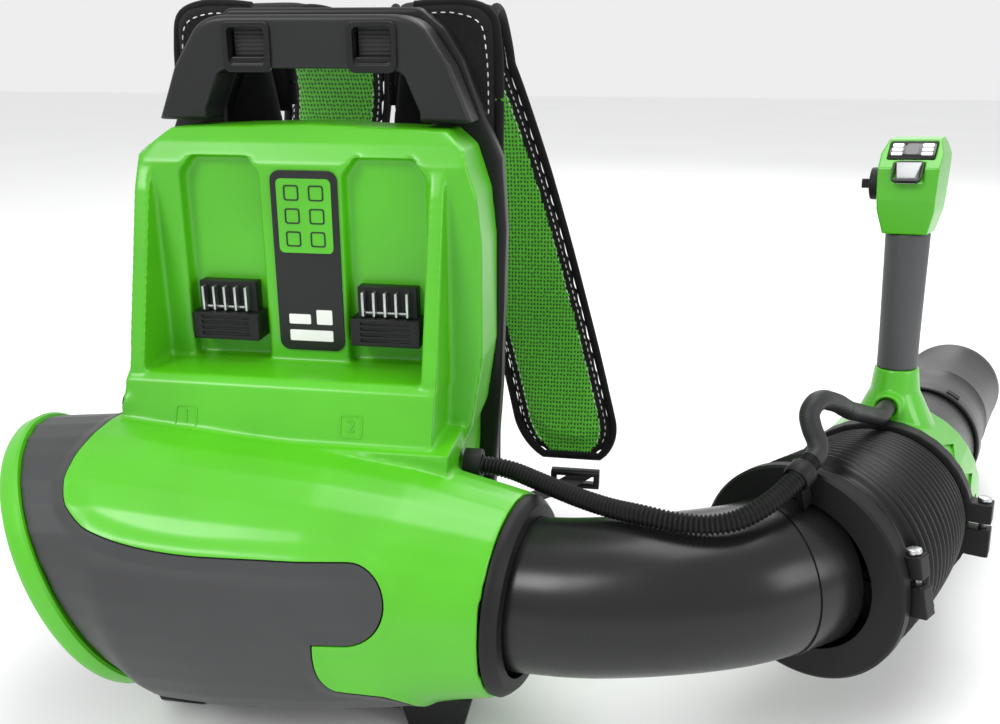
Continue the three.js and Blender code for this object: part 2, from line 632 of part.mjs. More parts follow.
// The head's side view: a slanted rear face for the display, and a nose over the trigger.
function controlHead() {
  const y = HANDLE_ALONG;
  const side = outline([[y - 22, GRIP_HIGH + GAP], [y + 24, GRIP_HIGH + GAP], [y + 34, GRIP_HIGH + 26],
    [y + 40, GRIP_HIGH + 60], [y + 34, HEAD_TOP - 4], [y + 24, HEAD_TOP], [y - 2, HEAD_TOP - 2],
    [y - 28, HEAD_TOP - 26], [y - 30, GRIP_HIGH + 30]]);
  const front = outline([[-18, GRIP_HIGH], [18, GRIP_HIGH], [23, GRIP_HIGH + 20], [25, HEAD_TOP - 14],
    [20, HEAD_TOP], [-20, HEAD_TOP], [-25, HEAD_TOP - 14], [-23, GRIP_HIGH + 20]]);
  const solidHead = alongX(side, -40, 40).intersect(alongY(front, -20, 120));
  const coreHole = block(-9.2, 9.2, y - 11.2, y + 11.2, GRIP_HIGH - 4, GRIP_HIGH + 19);
  const triggerSlot = block(-8.5, 8.5, y + 13, y + 60, GRIP_HIGH - 4, GRIP_HIGH + 38);
  const leverSeat = rod(15, -40, -19, 'x', 20).translate([0, y - 2, GRIP_HIGH + 42]);
  const display = placed(block(-19, 19, -3.5, 20, -10, 12), displayFrame());
  const button = placed(block(-12.5, 12.5, -8, 20, -36, -13), displayFrame());
  return solidHead.subtract(join([coreHole, triggerSlot, leverSeat, display, button]));
}

// Sits on the head's slanted face, Y outward from the face and Z up along it.
function displayFrame() {
  const outward = vector(0, -0.68, 0.73).normalize();
  return frameAt(vector(0, HANDLE_ALONG - 13, HEAD_TOP - 12), outward);
}

function controls() {
  const y = HANDLE_ALONG;
  const display = placed(block(-18.4, 18.4, -3, 0.6, -9.4, 11.4), displayFrame());
  const cap = outline([[-10, -15], [10, -15], [7, -33], [-7, -33]]);
  const button = placed(alongY(cap, -6, 1.6), displayFrame());
  const fingerSide = outline([[y + 17, GRIP_HIGH + 36], [y + 24, GRIP_HIGH + 3], [y + 34, GRIP_HIGH + 2],
    [y + 41, GRIP_HIGH + 6], [y + 36, GRIP_HIGH + 20], [y + 30, GRIP_HIGH + 36]]);
  const trigger = alongX(fingerSide, -7.8, 7.8);
  const disc = rod(14, -33, -19.4, 'x', 20).add(block(-41, -28, -3.5, 3.5, -4, 4));
  return [
    piece('display_window', display, 'window'),
    piece('power_button', button, 'silver'),
    piece('trigger', trigger, 'black'),
    piece('cruise_lever', disc.translate([0, y - 2, GRIP_HIGH + 42]), 'black'),
  ];
}

function tubeAssembly() {
  const group = new THREE.Group();
  const place = frameAt(TUBE_ROOT, heading(TUBE_HEADING, TUBE_PITCH));
  place.decompose(group.position, group.quaternion, group.scale);
  group.rotateY(TUBE_ROLL);
  const { tube, nozzle } = tubeParts();
  const unit = new THREE.Matrix4();
  group.add(tube, nozzle, piece('handle_bracket', handleBracket(), 'green'), ...handleParts());
  group.add(...clamp('front', 78, NECK_R + GAP + 0.3, -12, 6, unit));
  return group;
}

// ---------------------------------------------------------------- control cable
const GLAND = { x: 131, y: -30, z: 208 };
const CONDUIT_ROUTE = [
  [146, -30, 208], [158, -32, 208], [172, -37, 207.5], [190, -48, 206.5], [210, -62, 206],
  [231, -77, 206.5], [252, -91, 208], [273, -104, 211.2], [296, -113, 212], [318, -116, 213],
  [338, -112, 216], [356, -101, 222], [371, -87, 229], [383, -74, 236.5], [391.6, -62, 242.5],
];
const SLEEVE_REAR_ROUTE = [
  [392, -61.4, 242.8], [396.3, -55.4, 246], [397, -49, 252], [393, -44, 261], [391, -39, 270],
  [395, -32, 276], [402, -22, 276], [410, -10, 271], [418, 2, 265], [424.7, 13.6, 258.2],
];
const LOOSE_CABLE = ['conduit', 'cable_sleeve_rear', 'cable_sleeve_front'];
const SLEEVE_FRONT_ROUTE = [
  [425, 14, 258], [432, 27, 251], [439, 40, 245.4], [446, 52, 240], [453, 63, 235],
  [466.7, 79.8, 227.9], [471, 88.8, 227.6], [474.5, 98.2, 226.8], [478, 107.1, 226],
];

function cable(name, route, radius) {
  const curve = new THREE.CatmullRomCurve3(route.map((point) => vector(...point)));
  const section = new THREE.Shape().absarc(0, 0, radius, 0, 2 * Math.PI);
  const steps = Math.round(curve.getLength() / (radius * 2 * 0.9));
  const options = { steps, extrudePath: curve, curveSegments: 5, bevelEnabled: false };
  return piece(name, new THREE.ExtrudeGeometry(section, options), 'rubber');
}

function cableParts() {
  const gland = ring(13, 8.4, 0, 14, 'x', 20).translate([GLAND.x, GLAND.y, GLAND.z]);
  return [
    piece('cable_gland', gland, 'black'),
    cable('conduit', CONDUIT_ROUTE, CABLE_R),
    cable('cable_sleeve_rear', SLEEVE_REAR_ROUTE, CABLE_R),
    cable('cable_sleeve_front', SLEEVE_FRONT_ROUTE, CABLE_R),
  ];
}

// ---------------------------------------------------------------- harness
function backPanel() {
  const shape = new THREE.Shape();
  shape.moveTo(-138, 150);
  shape.quadraticCurveTo(-130, 110, -100, 108);
  shape.lineTo(100, 108);
  shape.quadraticCurveTo(130, 110, 138, 150);
  shape.lineTo(140, 540);
  shape.quadraticCurveTo(138, 558, 116, 560);
  shape.lineTo(70, 560);
  shape.quadraticCurveTo(56, 500, 46, 440);
  shape.quadraticCurveTo(0, 420, -46, 440);
  shape.quadraticCurveTo(-56, 500, -70, 560);
  shape.lineTo(-116, 560);
  shape.quadraticCurveTo(-138, 558, -140, 540);
  return alongY(shape, FRAME_FRONT + GAP, FRAME_FRONT + 16, 4);
}

// Lines in the (y, z) plane: the strap climbs the panel, arches forward over the shoulder and
// hangs down; the webbing runs back from its lower end.
const STRAP_LINE = [[102, 470], [103, 520], [110, 545], [128, 556], [160, 554], [200, 532],
  [232, 500], [258, 455], [276, 410], [287, 355], [291, 290], [289, 225], [281, 170], [268, 125],
  [252, 95]];
const WEBBING_LINE = [[244, 80.5], [222, 78], [180, 79], [140, 84], [104, 88]];
const STRAP_HALF_WIDTH = 45;
const STRAP_ROOT = 87;
const STRAP_WIDEN = 11;
const STRAP_SPLAY = 0.282;
const WEBBING_ROOT = 100;
const WEBBING_SPLAY = 0.745;
const LEFT_LEAN = 33;
const BUCKLE_Y = 235.5;

// The left strap leans inward as it runs forward.
function lean(side, y) {
  return side === 'left' ? LEFT_LEAN * THREE.MathUtils.smoothstep(y, 105, 255) : 0;
}

// Where a point across a strap lies from the centre plane: the strap splays outward as it comes
// down, and its inner edge widens once it is over the shoulder.
function strapSpread(side, x, y, z) {
  const splay = y < 170 ? 0 : STRAP_SPLAY * Math.max(0, 509 - z);
  const widen = STRAP_WIDEN * THREE.MathUtils.smoothstep(y, 110, 200);
  return STRAP_ROOT + splay - lean(side, y) + x - widen * (1 - x / STRAP_HALF_WIDTH);
}

function webbingSpread(side, x, y) {
  return WEBBING_ROOT + WEBBING_SPLAY * (y - 104) - lean(side, y) + x;
}

// A band of one thickness on a (y, z) line.
function band(line, thickness, halfWidth, side, spread) {
  const curve = new THREE.CatmullRomCurve3(line.map(([y, z]) => vector(0, y, z)));
  const steps = line.length * 2;
  const near = [];
  const far = [];
  for (let i = 0; i <= steps; i += 1) {
    const point = curve.getPointAt(i / steps);
    const tangent = curve.getTangentAt(i / steps);
    near.push([point.y - (tangent.z * thickness) / 2, point.z + (tangent.y * thickness) / 2]);
    far.push([point.y + (tangent.z * thickness) / 2, point.z - (tangent.y * thickness) / 2]);
  }
  const geometry = geometryOf(alongX(outline([...near, ...far.reverse()]), -halfWidth, halfWidth));
  const position = geometry.attributes.position;
  for (let i = 0; i < position.count; i += 1) {
    position.setX(i, spread(side, position.getX(i), position.getY(i), position.getZ(i)));
  }
  if (side === 'left') geometry.scale(-1, 1, 1);
  return solid(geometry);
}

function harness() {
  const parts = [piece('back_panel', backPanel(), 'fabric')];
  for (const side of ['left', 'right']) {
    const sign = side === 'left' ? -1 : 1;
    const buckle = block(-26, 26, -6.5, 6.5, 71, 89).subtract(block(-20, 20, -20, 20, 74.5, 85));
    const place = [sign * webbingSpread(side, 0, BUCKLE_Y), BUCKLE_Y, 0];
    const strap = band(STRAP_LINE, 13, STRAP_HALF_WIDTH, side, strapSpread);
    const webbing = band(WEBBING_LINE, 2.4, 12.5, side, webbingSpread);
    parts.push(piece(`shoulder_strap_${side}`, strap, 'mesh'));
    parts.push(piece(`strap_webbing_${side}`, webbing, 'fabric'));
    parts.push(piece(`strap_buckle_${side}`, buckle.translate(place), 'black'));
  }
  parts.push(piece('waist_belt', waistBelt(), 'fabric'));
  return parts;
}

function waistBelt() {
  const plan = new THREE.Shape();
  plan.moveTo(-120, 96);
  plan.lineTo(120, 96);
  plan.quadraticCurveTo(190, 100, 232, 164);
  plan.lineTo(220, 172);
  plan.quadraticCurveTo(184, 116, 120, 110);
  plan.lineTo(-120, 110);
  plan.quadraticCurveTo(-184, 116, -220, 172);
  plan.lineTo(-232, 164);
  plan.quadraticCurveTo(-190, 100, -120, 96);
  return alongZ(plan, 30, 72);
}

// ---------------------------------------------------------------- the object
function build() {
  const object = new THREE.Group();
  object.add(...housing(), ...intakeParts(), ...fanAndMotor());
  object.add(...terminalParts('left'), ...terminalParts('right'), ...electronics());
  object.add(piece('carry_handle', carryHandle(), 'grey'), piece('back_frame', backFrame(), 'black'));
  object.add(...housingScrews(), ...baseAndFeet(), ...elbowParts(), ...bellowsParts());
  object.add(tubeAssembly(), ...cableParts(), ...harness());
  return centred(object);
}

// Puts the origin at the bottom centre of everything but the loose cable.
function centred(object) {
  const box = new THREE.Box3();
  object.updateMatrixWorld(true);
  object.traverse((node) => {
    if (node.isMesh && !LOOSE_CABLE.includes(node.name)) box.expandByObject(node, true);
  });
  const middle = box.getCenter(new THREE.Vector3());
  object.position.set(-middle.x, -middle.y, -box.min.z);
  return object;
}

export default build();
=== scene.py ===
"""The looks of a battery backpack leaf blower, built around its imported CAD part."""

import math

import bmesh
import bpy
import numpy as np
from mathutils import Matrix, Vector


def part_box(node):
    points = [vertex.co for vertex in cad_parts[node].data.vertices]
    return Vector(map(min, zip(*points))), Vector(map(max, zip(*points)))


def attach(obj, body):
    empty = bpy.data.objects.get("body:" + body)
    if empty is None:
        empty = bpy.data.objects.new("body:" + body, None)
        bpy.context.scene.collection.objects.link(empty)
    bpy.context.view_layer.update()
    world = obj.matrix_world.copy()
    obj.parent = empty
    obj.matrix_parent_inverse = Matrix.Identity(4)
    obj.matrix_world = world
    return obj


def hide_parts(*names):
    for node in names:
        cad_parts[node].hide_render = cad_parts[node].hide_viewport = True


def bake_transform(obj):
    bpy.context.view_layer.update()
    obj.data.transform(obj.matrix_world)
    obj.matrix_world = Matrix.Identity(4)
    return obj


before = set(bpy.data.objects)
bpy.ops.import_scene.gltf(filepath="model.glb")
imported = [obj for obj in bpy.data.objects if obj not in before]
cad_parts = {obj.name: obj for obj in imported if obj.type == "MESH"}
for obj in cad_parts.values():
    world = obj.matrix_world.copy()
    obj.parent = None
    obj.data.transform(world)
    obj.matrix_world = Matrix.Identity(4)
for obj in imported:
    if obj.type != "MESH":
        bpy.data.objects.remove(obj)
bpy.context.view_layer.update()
scene = bpy.context.scene

# ---------------------------------------------------------------- the part's own dimensions
MM = 0.001
UP = Vector((0, 0, 1))
SHAFT_CENTRE = Vector((13, -83, 132)) * MM
shaft_low, shaft_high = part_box("motor_shaft")
ORIGIN = (shaft_low + shaft_high) / 2 - SHAFT_CENTRE

INTAKE = (-163, -73, 136)
INTAKE_FACING = Vector((-0.889, -0.238, -0.39))
OUTLET = (182, -91, 131)
OUTLET_TURN = math.radians(-12)
REAR_CUFF = (400, -44, 149)
REAR_HEADING = math.radians(37)
TUBE_ROOT = (477, 92, 140)
TUBE_HEADING = math.radians(21.5)
TUBE_PITCH = math.radians(-4.5)
TUBE_ROLL = math.radians(-3)
TUBE_LENGTH = 215
NOZZLE_LENGTH = 275
TUBE_R = 58
ELBOW_R = 58
BELLOWS_R = 83
BELLOWS_CUFF_R = 73
NECK_R = 71
CABLE_R = 7.5
HANDLE_ALONG = 46
HEAD_TOP = 318
STRAP_LINE = [(102, 470), (103, 520), (110, 545), (128, 556), (160, 554), (200, 532), (232, 500),
              (258, 455), (276, 410), (287, 355), (291, 290), (289, 225), (281, 170), (268, 125),
              (252, 95)]
STRAP_HALF_WIDTH = 45
STRAP_ROOT = 87
STRAP_WIDEN = 11
STRAP_SPLAY = 0.282
LEFT_LEAN = 33
STRAP_THICKNESS = 13
STRAP_HEM = 3
STRAP_BORDER = 11
STRAP_END_FROM = 0.93
STRAP_END_SHARE = 0.07
STRAP_BINDING_R = 4.2
PANEL_BINDING_R = 4.6
OUTLET_SEAT = 78
INTAKE_SEAT = 119
FAIRED_BELOW = 195
FAIRING_DEPTH = 30
FLOOR_HALF_M = 9.0

CONDUIT_ROUTE = [
    (146, -30, 208), (158, -32, 208), (172, -37, 207.5), (190, -48, 206.5), (210, -62, 206),
    (231, -77, 206.5), (252, -91, 208), (273, -104, 211.2), (296, -113, 212), (318, -116, 213),
    (338, -112, 216), (356, -101, 222), (371, -87, 229), (383, -74, 236.5), (391.6, -62, 242.5)]
SLEEVE_REAR_ROUTE = [
    (392, -61.4, 242.8), (396.3, -55.4, 246), (397, -49, 252), (393, -44, 261), (391, -39, 270),
    (395, -32, 276), (402, -22, 276), (410, -10, 271), (418, 2, 265), (424.7, 13.6, 258.2)]
SLEEVE_FRONT_ROUTE = [
    (425, 14, 258), (432, 27, 251), (439, 40, 245.4), (446, 52, 240), (453, 63, 235),
    (466.7, 79.8, 227.9), (471, 88.8, 227.6), (474.5, 98.2, 226.8), (478, 107.1, 226)]


def at(x, y, z):
    """A place in the part's working millimetres, in the row frame in metres."""
    return Vector((x, y, z)) * MM + ORIGIN


def heading(angle, pitch=0.0):
    level = math.cos(pitch)
    return Vector((math.sin(angle) * level, math.cos(angle) * level, math.sin(pitch)))


def frame_at(place, direction, roll=0.0):
    """A matrix in metres whose Y axis runs along a direction, with X to the right and Z upward."""
    forward = direction.normalized()
    right = forward.cross(UP).normalized()
    basis = Matrix((right, forward, right.cross(forward))).transposed().to_4x4()
    return Matrix.Translation(at(*place)) @ basis @ Matrix.Rotation(roll, 4, "Y")


TUBE_FRAME = frame_at(TUBE_ROOT, heading(TUBE_HEADING, TUBE_PITCH), TUBE_ROLL)
REAR_FRAME = frame_at(REAR_CUFF, heading(REAR_HEADING))
OUTLET_FRAME = frame_at(OUTLET, Vector((math.cos(OUTLET_TURN), math.sin(OUTLET_TURN), 0)))
INTAKE_FRAME = frame_at(INTAKE, INTAKE_FACING)
BODY_FRAME = Matrix.Translation(ORIGIN)


# ---------------------------------------------------------------- camera and light
def add_camera():
    data = bpy.data.cameras.new("camera")
    data.lens = 35.7
    data.sensor_width = 36
    data.clip_end = 60
    camera = bpy.data.objects.new("camera", data)
    right = Vector((0.9866, 0.1633, 0)).normalized()
    forward = Vector((-0.1553, 0.9383, -0.3098)).normalized()
    upward = right.cross(forward)
    basis = Matrix((right, upward, -forward)).transposed().to_4x4()
    camera.matrix_world = Matrix.Translation(at(278, -747, 532)) @ basis
    scene.collection.objects.link(camera)
    scene.camera = camera


def add_light(name, place, target, size, power):
    data = bpy.data.lights.new(name, "AREA")
    data.size = size
    data.energy = power
    light = bpy.data.objects.new(name, data)
    light.location = place
    aim = Vector(target) - Vector(place)
    light.rotation_euler = aim.to_track_quat("-Z", "Y").to_euler()
    scene.collection.objects.link(light)


def add_lights():
    add_light("key_light", (-1.6, -2.2, 2.4), (0, 0, 0.2), 1.0, 42)
    add_light("top_light", (0.3, 0.2, 2.6), (0.1, 0, 0), 1.5, 32)
    add_light("right_light", (2.6, -1.2, 1.3), (0.2, 0, 0.2), 1.1, 20)
    add_light("rear_light", (0.6, 2.6, 1.9), (0, 0, 0.2), 1.6, 20)
    world = bpy.data.worlds.new("world")
    world.use_nodes = True
    background = world.node_tree.nodes["Background"]
    background.inputs["Color"].default_value = (0.97, 0.97, 0.97, 1)
    background.inputs["Strength"].default_value = 0.88
    scene.world = world
    scene.view_settings.view_transform = "Standard"


# ---------------------------------------------------------------- materials
class Shader:
    """A node material with a Principled shader, and short ways to add to it."""

    def __init__(self, name, roughness, metallic=0.0, **sockets):
        self.material = bpy.data.materials.new(name)
        self.material.use_nodes = True
        self.tree = self.material.node_tree
        self.shader = self.tree.nodes["Principled BSDF"]
        self.shader.inputs["Roughness"].default_value = roughness
        self.shader.inputs["Metallic"].default_value = metallic
        for key, value in sockets.items():
            self.shader.inputs[key.replace("_", " ")].default_value = value
        self.place = self.node("ShaderNodeTexCoord").outputs["Object"]

    def node(self, kind, **values):
        node = self.tree.nodes.new(kind)
        for key, value in values.items():
            if key in node.inputs:
                node.inputs[key].default_value = value
            else:
                setattr(node, key, value)
        return node

    def link(self, source, target):
        self.tree.links.new(source, target)

    def noise(self, scale, detail=3.0):
        node = self.node("ShaderNodeTexNoise", Scale=scale, Detail=detail)
        self.link(self.place, node.inputs["Vector"])
        return node.outputs["Fac"]

    def flat_place(self, stretch=(1, 1)):
        """Coordinates across the object's width and height only, for a pattern on a hanging face."""
        apart = self.node("ShaderNodeSeparateXYZ")
        together = self.node("ShaderNodeCombineXYZ")
        self.link(self.place, apart.inputs[0])
        for output, target, factor in (("X", "X", stretch[0]), ("Z", "Y", stretch[1])):
            scaled = self.node("ShaderNodeMath", operation="MULTIPLY")
            scaled.inputs[1].default_value = factor
            self.link(apart.outputs[output], scaled.inputs[0])
            self.link(scaled.outputs[0], together.inputs[target])
        return together.outputs[0]

    def colour(self, factor, dark, light, low=0.3, high=0.7):
        ramp = self.node("ShaderNodeValToRGB")
        ramp.color_ramp.elements[0].color = (*dark, 1)
        ramp.color_ramp.elements[0].position = low
        ramp.color_ramp.elements[1].color = (*light, 1)
        ramp.color_ramp.elements[1].position = high
        self.link(factor, ramp.inputs[0])
        self.link(ramp.outputs[0], self.shader.inputs["Base Color"])

    def bump(self, height, strength, distance):
        node = self.node("ShaderNodeBump", Strength=strength, Distance=distance)
        self.link(height, node.inputs["Height"])
        self.link(node.outputs[0], self.shader.inputs["Normal"])

    def roughen(self, factor, low, high):
        ranged = self.node("ShaderNodeMapRange")
        ranged.inputs["To Min"].default_value = low
        ranged.inputs["To Max"].default_value = high
        self.link(factor, ranged.inputs["Value"])
        self.link(ranged.outputs[0], self.shader.inputs["Roughness"])


def plastic(name, colour, roughness, grain=2200.0, bump=0.12, **sockets):
    """Moulded plastic: a fine grain, slow colour drift and slightly uneven gloss."""
    shader = Shader(name, roughness, **sockets)
    drift = shader.noise(7.0)
    shader.colour(drift, [c * 0.88 for c in colour], [c * 1.1 for c in colour])
    shader.roughen(shader.noise(23.0), roughness - 0.04, roughness + 0.06)
    shader.bump(shader.noise(grain, 1.0), bump, 0.00012)
    return shader.material


def metal(name, colour, roughness):
    shader = Shader(name, roughness, metallic=1.0)
    shader.colour(shader.noise(60.0), [c * 0.8 for c in colour], colour)
    shader.roughen(shader.noise(400.0), roughness - 0.06, roughness + 0.1)
    shader.bump(shader.noise(900.0), 0.08, 0.0001)
    return shader.material


def spacer_mesh(name, dark, light):
    """Open knitted mesh: holes in rows, darkened with painted shade inside the openings, in a bright yarn.
    """
    shader = Shader(name, 0.72, Sheen_Weight=0.25)
    cells = shader.node("ShaderNodeTexVoronoi", Scale=1.0, Randomness=0.22, voronoi_dimensions="2D")
    shader.link(shader.flat_place((290, 235)), cells.inputs["Vector"])
    # The first colour darkens the holes with painted shade; the second is the yarn's own green.
    shader.colour(cells.outputs["Distance"], dark, light, 0.2, 0.42)
    shader.bump(cells.outputs["Distance"], 0.8, 0.0012)
    return shader.material


def woven(name, colour, threads=1500.0, sheen=0.15):
    """Plain woven cloth: crossed waves of yarn with a little wear in the colour."""
    shader = Shader(name, 0.82, Sheen_Weight=sheen, Specular_IOR_Level=0.15)
    across = shader.node("ShaderNodeTexWave", Scale=threads / 6.3, bands_direction="X")
    along = shader.node("ShaderNodeTexWave", Scale=threads / 6.3, bands_direction="Z")
    weave = shader.node("ShaderNodeMath", operation="MULTIPLY")
    for wave, socket in ((across, 0), (along, 1)):
        shader.link(shader.place, wave.inputs["Vector"])
        shader.link(wave.outputs["Fac"], weave.inputs[socket])
    shader.colour(shader.noise(35.0), [c * 0.7 for c in colour], [c * 1.35 for c in colour])
    shader.bump(weave.outputs[0], 0.5, 0.0005)
    return shader.material


def webbing(name, colour):
    """Strap webbing: ribs across its length, with painted shade in the grooves and a painted highlight on
    the crests.
    """
    shader = Shader(name, 0.75, Sheen_Weight=0.1)
    ribs = shader.node("ShaderNodeTexWave", Scale=95.0, bands_direction="Z")
    shader.link(shader.place, ribs.inputs["Vector"])
    # Painted shade in the rib grooves and painted highlight on the rib crests, following the bump's waves.
    shader.colour(ribs.outputs["Fac"], [c * 0.5 for c in colour], [c * 1.4 for c in colour], 0.1, 0.9)
    shader.bump(ribs.outputs["Fac"], 0.6, 0.001)
    return shader.material


def floor_material():
    shader = Shader("floor_paint", 0.6)
    shader.colour(shader.noise(2.0), (0.90, 0.903, 0.906), (0.92, 0.923, 0.926))
    return shader.material


GREEN = (0.072, 0.43, 0.005)
SHELL_GREEN = plastic("shell_green", GREEN, 0.33, Coat_Weight=0.12, Coat_Roughness=0.25)
HANDLE_GREEN = plastic("handle_green", (0.066, 0.40, 0.007), 0.3, Coat_Weight=0.15, Coat_Roughness=0.2)
GREY = plastic("cowl_grey", (0.045, 0.046, 0.0475), 0.42, bump=0.2, Specular_IOR_Level=0.32)
HANDLE_GREY = plastic("carry_grey", (0.013, 0.0134, 0.0144), 0.38, bump=0.16, Specular_IOR_Level=0.3)
BLACK = plastic("satin_black", (0.008, 0.0082, 0.0087), 0.36, Specular_IOR_Level=0.26)
DUCT_BLACK = plastic("duct_black", (0.0085, 0.0087, 0.0091), 0.26, bump=0.1, Specular_IOR_Level=0.34)
MATT_BLACK = plastic("matt_black", (0.007, 0.007, 0.0074), 0.5, bump=0.25, Specular_IOR_Level=0.25)
BELLOWS_BLACK = plastic("bellows_black", (0.0062, 0.0063, 0.0067), 0.36, bump=0.15, Specular_IOR_Level=0.35)
SLEEVE_GREY = plastic("sleeve_grey", (0.018, 0.0185, 0.02), 0.48, bump=0.2, Specular_IOR_Level=0.3)
GRIP_RUBBER = plastic("grip_rubber", (0.058, 0.060, 0.063), 0.5, grain=1300.0, bump=0.35,
                      Specular_IOR_Level=0.35)
SILVER = plastic("silver_button", (0.42, 0.43, 0.44), 0.25, bump=0.03)
LIGHT_GREY = plastic("buckle_grey", (0.13, 0.132, 0.137), 0.38)
WHITE_PRINT = plastic("white_print", (0.78, 0.78, 0.77), 0.45, bump=0.02)
LAMP_WHITE = plastic("lamp_white", (0.85, 0.86, 0.88), 0.2, bump=0.02)
GLOSS_BLACK = plastic("gloss_black", (0.006, 0.006, 0.007), 0.08, bump=0.01)
BOARD = plastic("board_green", (0.01, 0.09, 0.03), 0.4)
STEEL = metal("plated_steel", (0.62, 0.63, 0.64), 0.32)
ALUMINIUM = metal("plain_aluminium", (0.75, 0.76, 0.77), 0.38)
COPPER = metal("copper_wire", (0.72, 0.36, 0.15), 0.35)
# The first colour is painted shade in the mesh holes; the second is the yarn green.
MESH_GREEN = spacer_mesh("mesh_green", (0.008, 0.06, 0.003), (0.09, 0.50, 0.016))
FABRIC = woven("pack_fabric", (0.010, 0.010, 0.011), sheen=0.05)
BINDING = woven("edge_binding", (0.006, 0.006, 0.0065), threads=2600.0, sheen=0.04)
WEBBING = webbing("strap_webbing", (0.014, 0.014, 0.015))
THREAD = woven("stitch_thread", (0.72, 0.72, 0.70), threads=4000.0)


# ---------------------------------------------------------------- curves
def catmull_rom(points, count):
    """Evenly spaced points on a centripetal Catmull-Rom curve through the points."""
    knots = [2 * points[0] - points[1], *points, 2 * points[-1] - points[-2]]
    dense = []
    for i in range(len(points) - 1):
        p = knots[i:i + 4]
        t = [0.0]
        for a, b in zip(p, p[1:]):
            t.append(t[-1] + (b - a).length ** 0.5)
        for k in range(24):
            u = t[1] + (t[2] - t[1]) * k / 24
            a = [p[j] * ((t[j + 1] - u) / (t[j + 1] - t[j])) + p[j + 1] * ((u - t[j]) / (t[j + 1] - t[j]))
                 for j in range(3)]
            b = [a[j] * ((t[j + 2] - u) / (t[j + 2] - t[j])) + a[j + 1] * ((u - t[j]) / (t[j + 2] - t[j]))
                 for j in range(2)]
            dense.append(b[0] * ((t[2] - u) / (t[2] - t[1])) + b[1] * ((u - t[1]) / (t[2] - t[1])))
    dense.append(points[-1].copy())
    return evenly(dense, count)


def bezier(a, b, c, d, count):
    dense = []
    for k in range(401):
        t = k / 400
        s = 1 - t
        dense.append(a * s ** 3 + b * 3 * s * s * t + c * 3 * s * t * t + d * t ** 3)
    return evenly(dense, count)


def evenly(dense, count):
    """Count points spaced evenly by length along a dense run of points."""
    lengths = [0.0]
    for a, b in zip(dense, dense[1:]):
        lengths.append(lengths[-1] + (b - a).length)
    result = []
    i = 0
    for k in range(count):
        target = lengths[-1] * k / (count - 1)
        while i < len(dense) - 2 and lengths[i + 1] < target:
            i += 1
        share = (target - lengths[i]) / max(lengths[i + 1] - lengths[i], 1e-9)
        result.append(dense[i].lerp(dense[i + 1], min(max(share, 0.0), 1.0)))
    return result


def path_length(points):
    return sum((b - a).length for a, b in zip(points, points[1:]))


def tangents(points):
    last = len(points) - 1
    return [(points[min(i + 1, last)] - points[max(i - 1, 0)]).normalized() for i in range(last + 1)]


# ---------------------------------------------------------------- mesh building
def new_piece(name, verts, faces, material):
    mesh = bpy.data.meshes.new(name)
    mesh.from_pydata([tuple(v) for v in verts], [], faces)
    mesh.update()
    mesh.materials.append(material)
    obj = bpy.data.objects.new(name, mesh)
    scene.collection.objects.link(obj)
    tidy_normals(obj)
    return obj


def tidy_normals(obj, angle=35):
    work = bmesh.new()
    work.from_mesh(obj.data)
    bmesh.ops.recalc_face_normals(work, faces=work.faces)
    work.to_mesh(obj.data)
    work.free()
    soften(obj, angle)


def soften(obj, angle=35):
    """Smooth shading, with edges sharper than the angle left crisp."""
    for polygon in obj.data.polygons:
        polygon.use_smooth = True
    obj.data.set_sharp_from_angle(angle=math.radians(angle))
    return obj


def bevel(obj, width, segments=3, angle=30):
    modifier = obj.modifiers.new("bevel", "BEVEL")
    modifier.width = width * MM
    modifier.segments = segments
    modifier.limit_method = "ANGLE"
    modifier.angle_limit = math.radians(angle)
    modifier.harden_normals = False
    return obj


def skin(name, rings, material, loop=False):
    """A surface over rings of points; loop joins the last ring to the first, else both ends close."""
    sides = len(rings[0])
    verts = [point for ring in rings for point in ring]
    faces = []
    for r in range(len(rings) if loop else len(rings) - 1):
        near = r * sides
        far = ((r + 1) % len(rings)) * sides
        for k in range(sides):
            n = (k + 1) % sides
            faces.append((near + k, near + n, far + n, far + k))
    if not loop:
        faces.append(tuple(range(sides)))
        faces.append(tuple(range((len(rings) - 1) * sides, len(rings) * sides)))
    return new_piece(name, verts, faces, material)


def circle(centre, facing, radius, sides):
    right = facing.cross(UP).normalized()
    upward = right.cross(facing)
    turn = 2 * math.pi / sides
    return [centre + (right * math.cos(k * turn) + upward * math.sin(k * turn)) * radius
            for k in range(sides)]


def tube_shell(name, points, outer, inner, material, sides=96):
    """An open-ended tube along points; outer and inner give the radius in mm at a share of its length."""
    facing = tangents(points)
    last = len(points) - 1
    rings = [circle(points[i], facing[i], outer(i / last) * MM, sides) for i in range(last + 1)]
    rings += [circle(points[i], facing[i], inner(i / last) * MM, sides) for i in range(last, -1, -1)]
    return skin(name, rings, material, loop=True)


def turned(name, profile, matrix, material, sides=96, start=0.0, sweep=1.0):
    """A closed profile of (radius, along) in mm, turned about the matrix's Y axis."""
    rings = []
    count = sides if sweep == 1.0 else sides + 1
    for k in range(count):
        angle = 2 * math.pi * (start + sweep * k / sides)
        rings.append([matrix @ (Vector((r * math.cos(angle), a, r * math.sin(angle))) * MM)
                      for r, a in profile])
    return skin(name, rings, material, loop=sweep == 1.0)


def prism(name, outline, low, high, matrix, material, hole=None):
    """An outline of (x, z) in mm, from low to high along the matrix's Y axis, with an optional hole."""
    def ring(shape, y):
        return [matrix @ (Vector((x, y, z)) * MM) for x, z in shape]
    if hole is None:
        return skin(name, [ring(outline, low), ring(outline, high)], material)
    rings = [ring(outline, low), ring(outline, high), ring(hole, high), ring(hole, low)]
    return skin(name, rings, material, loop=True)


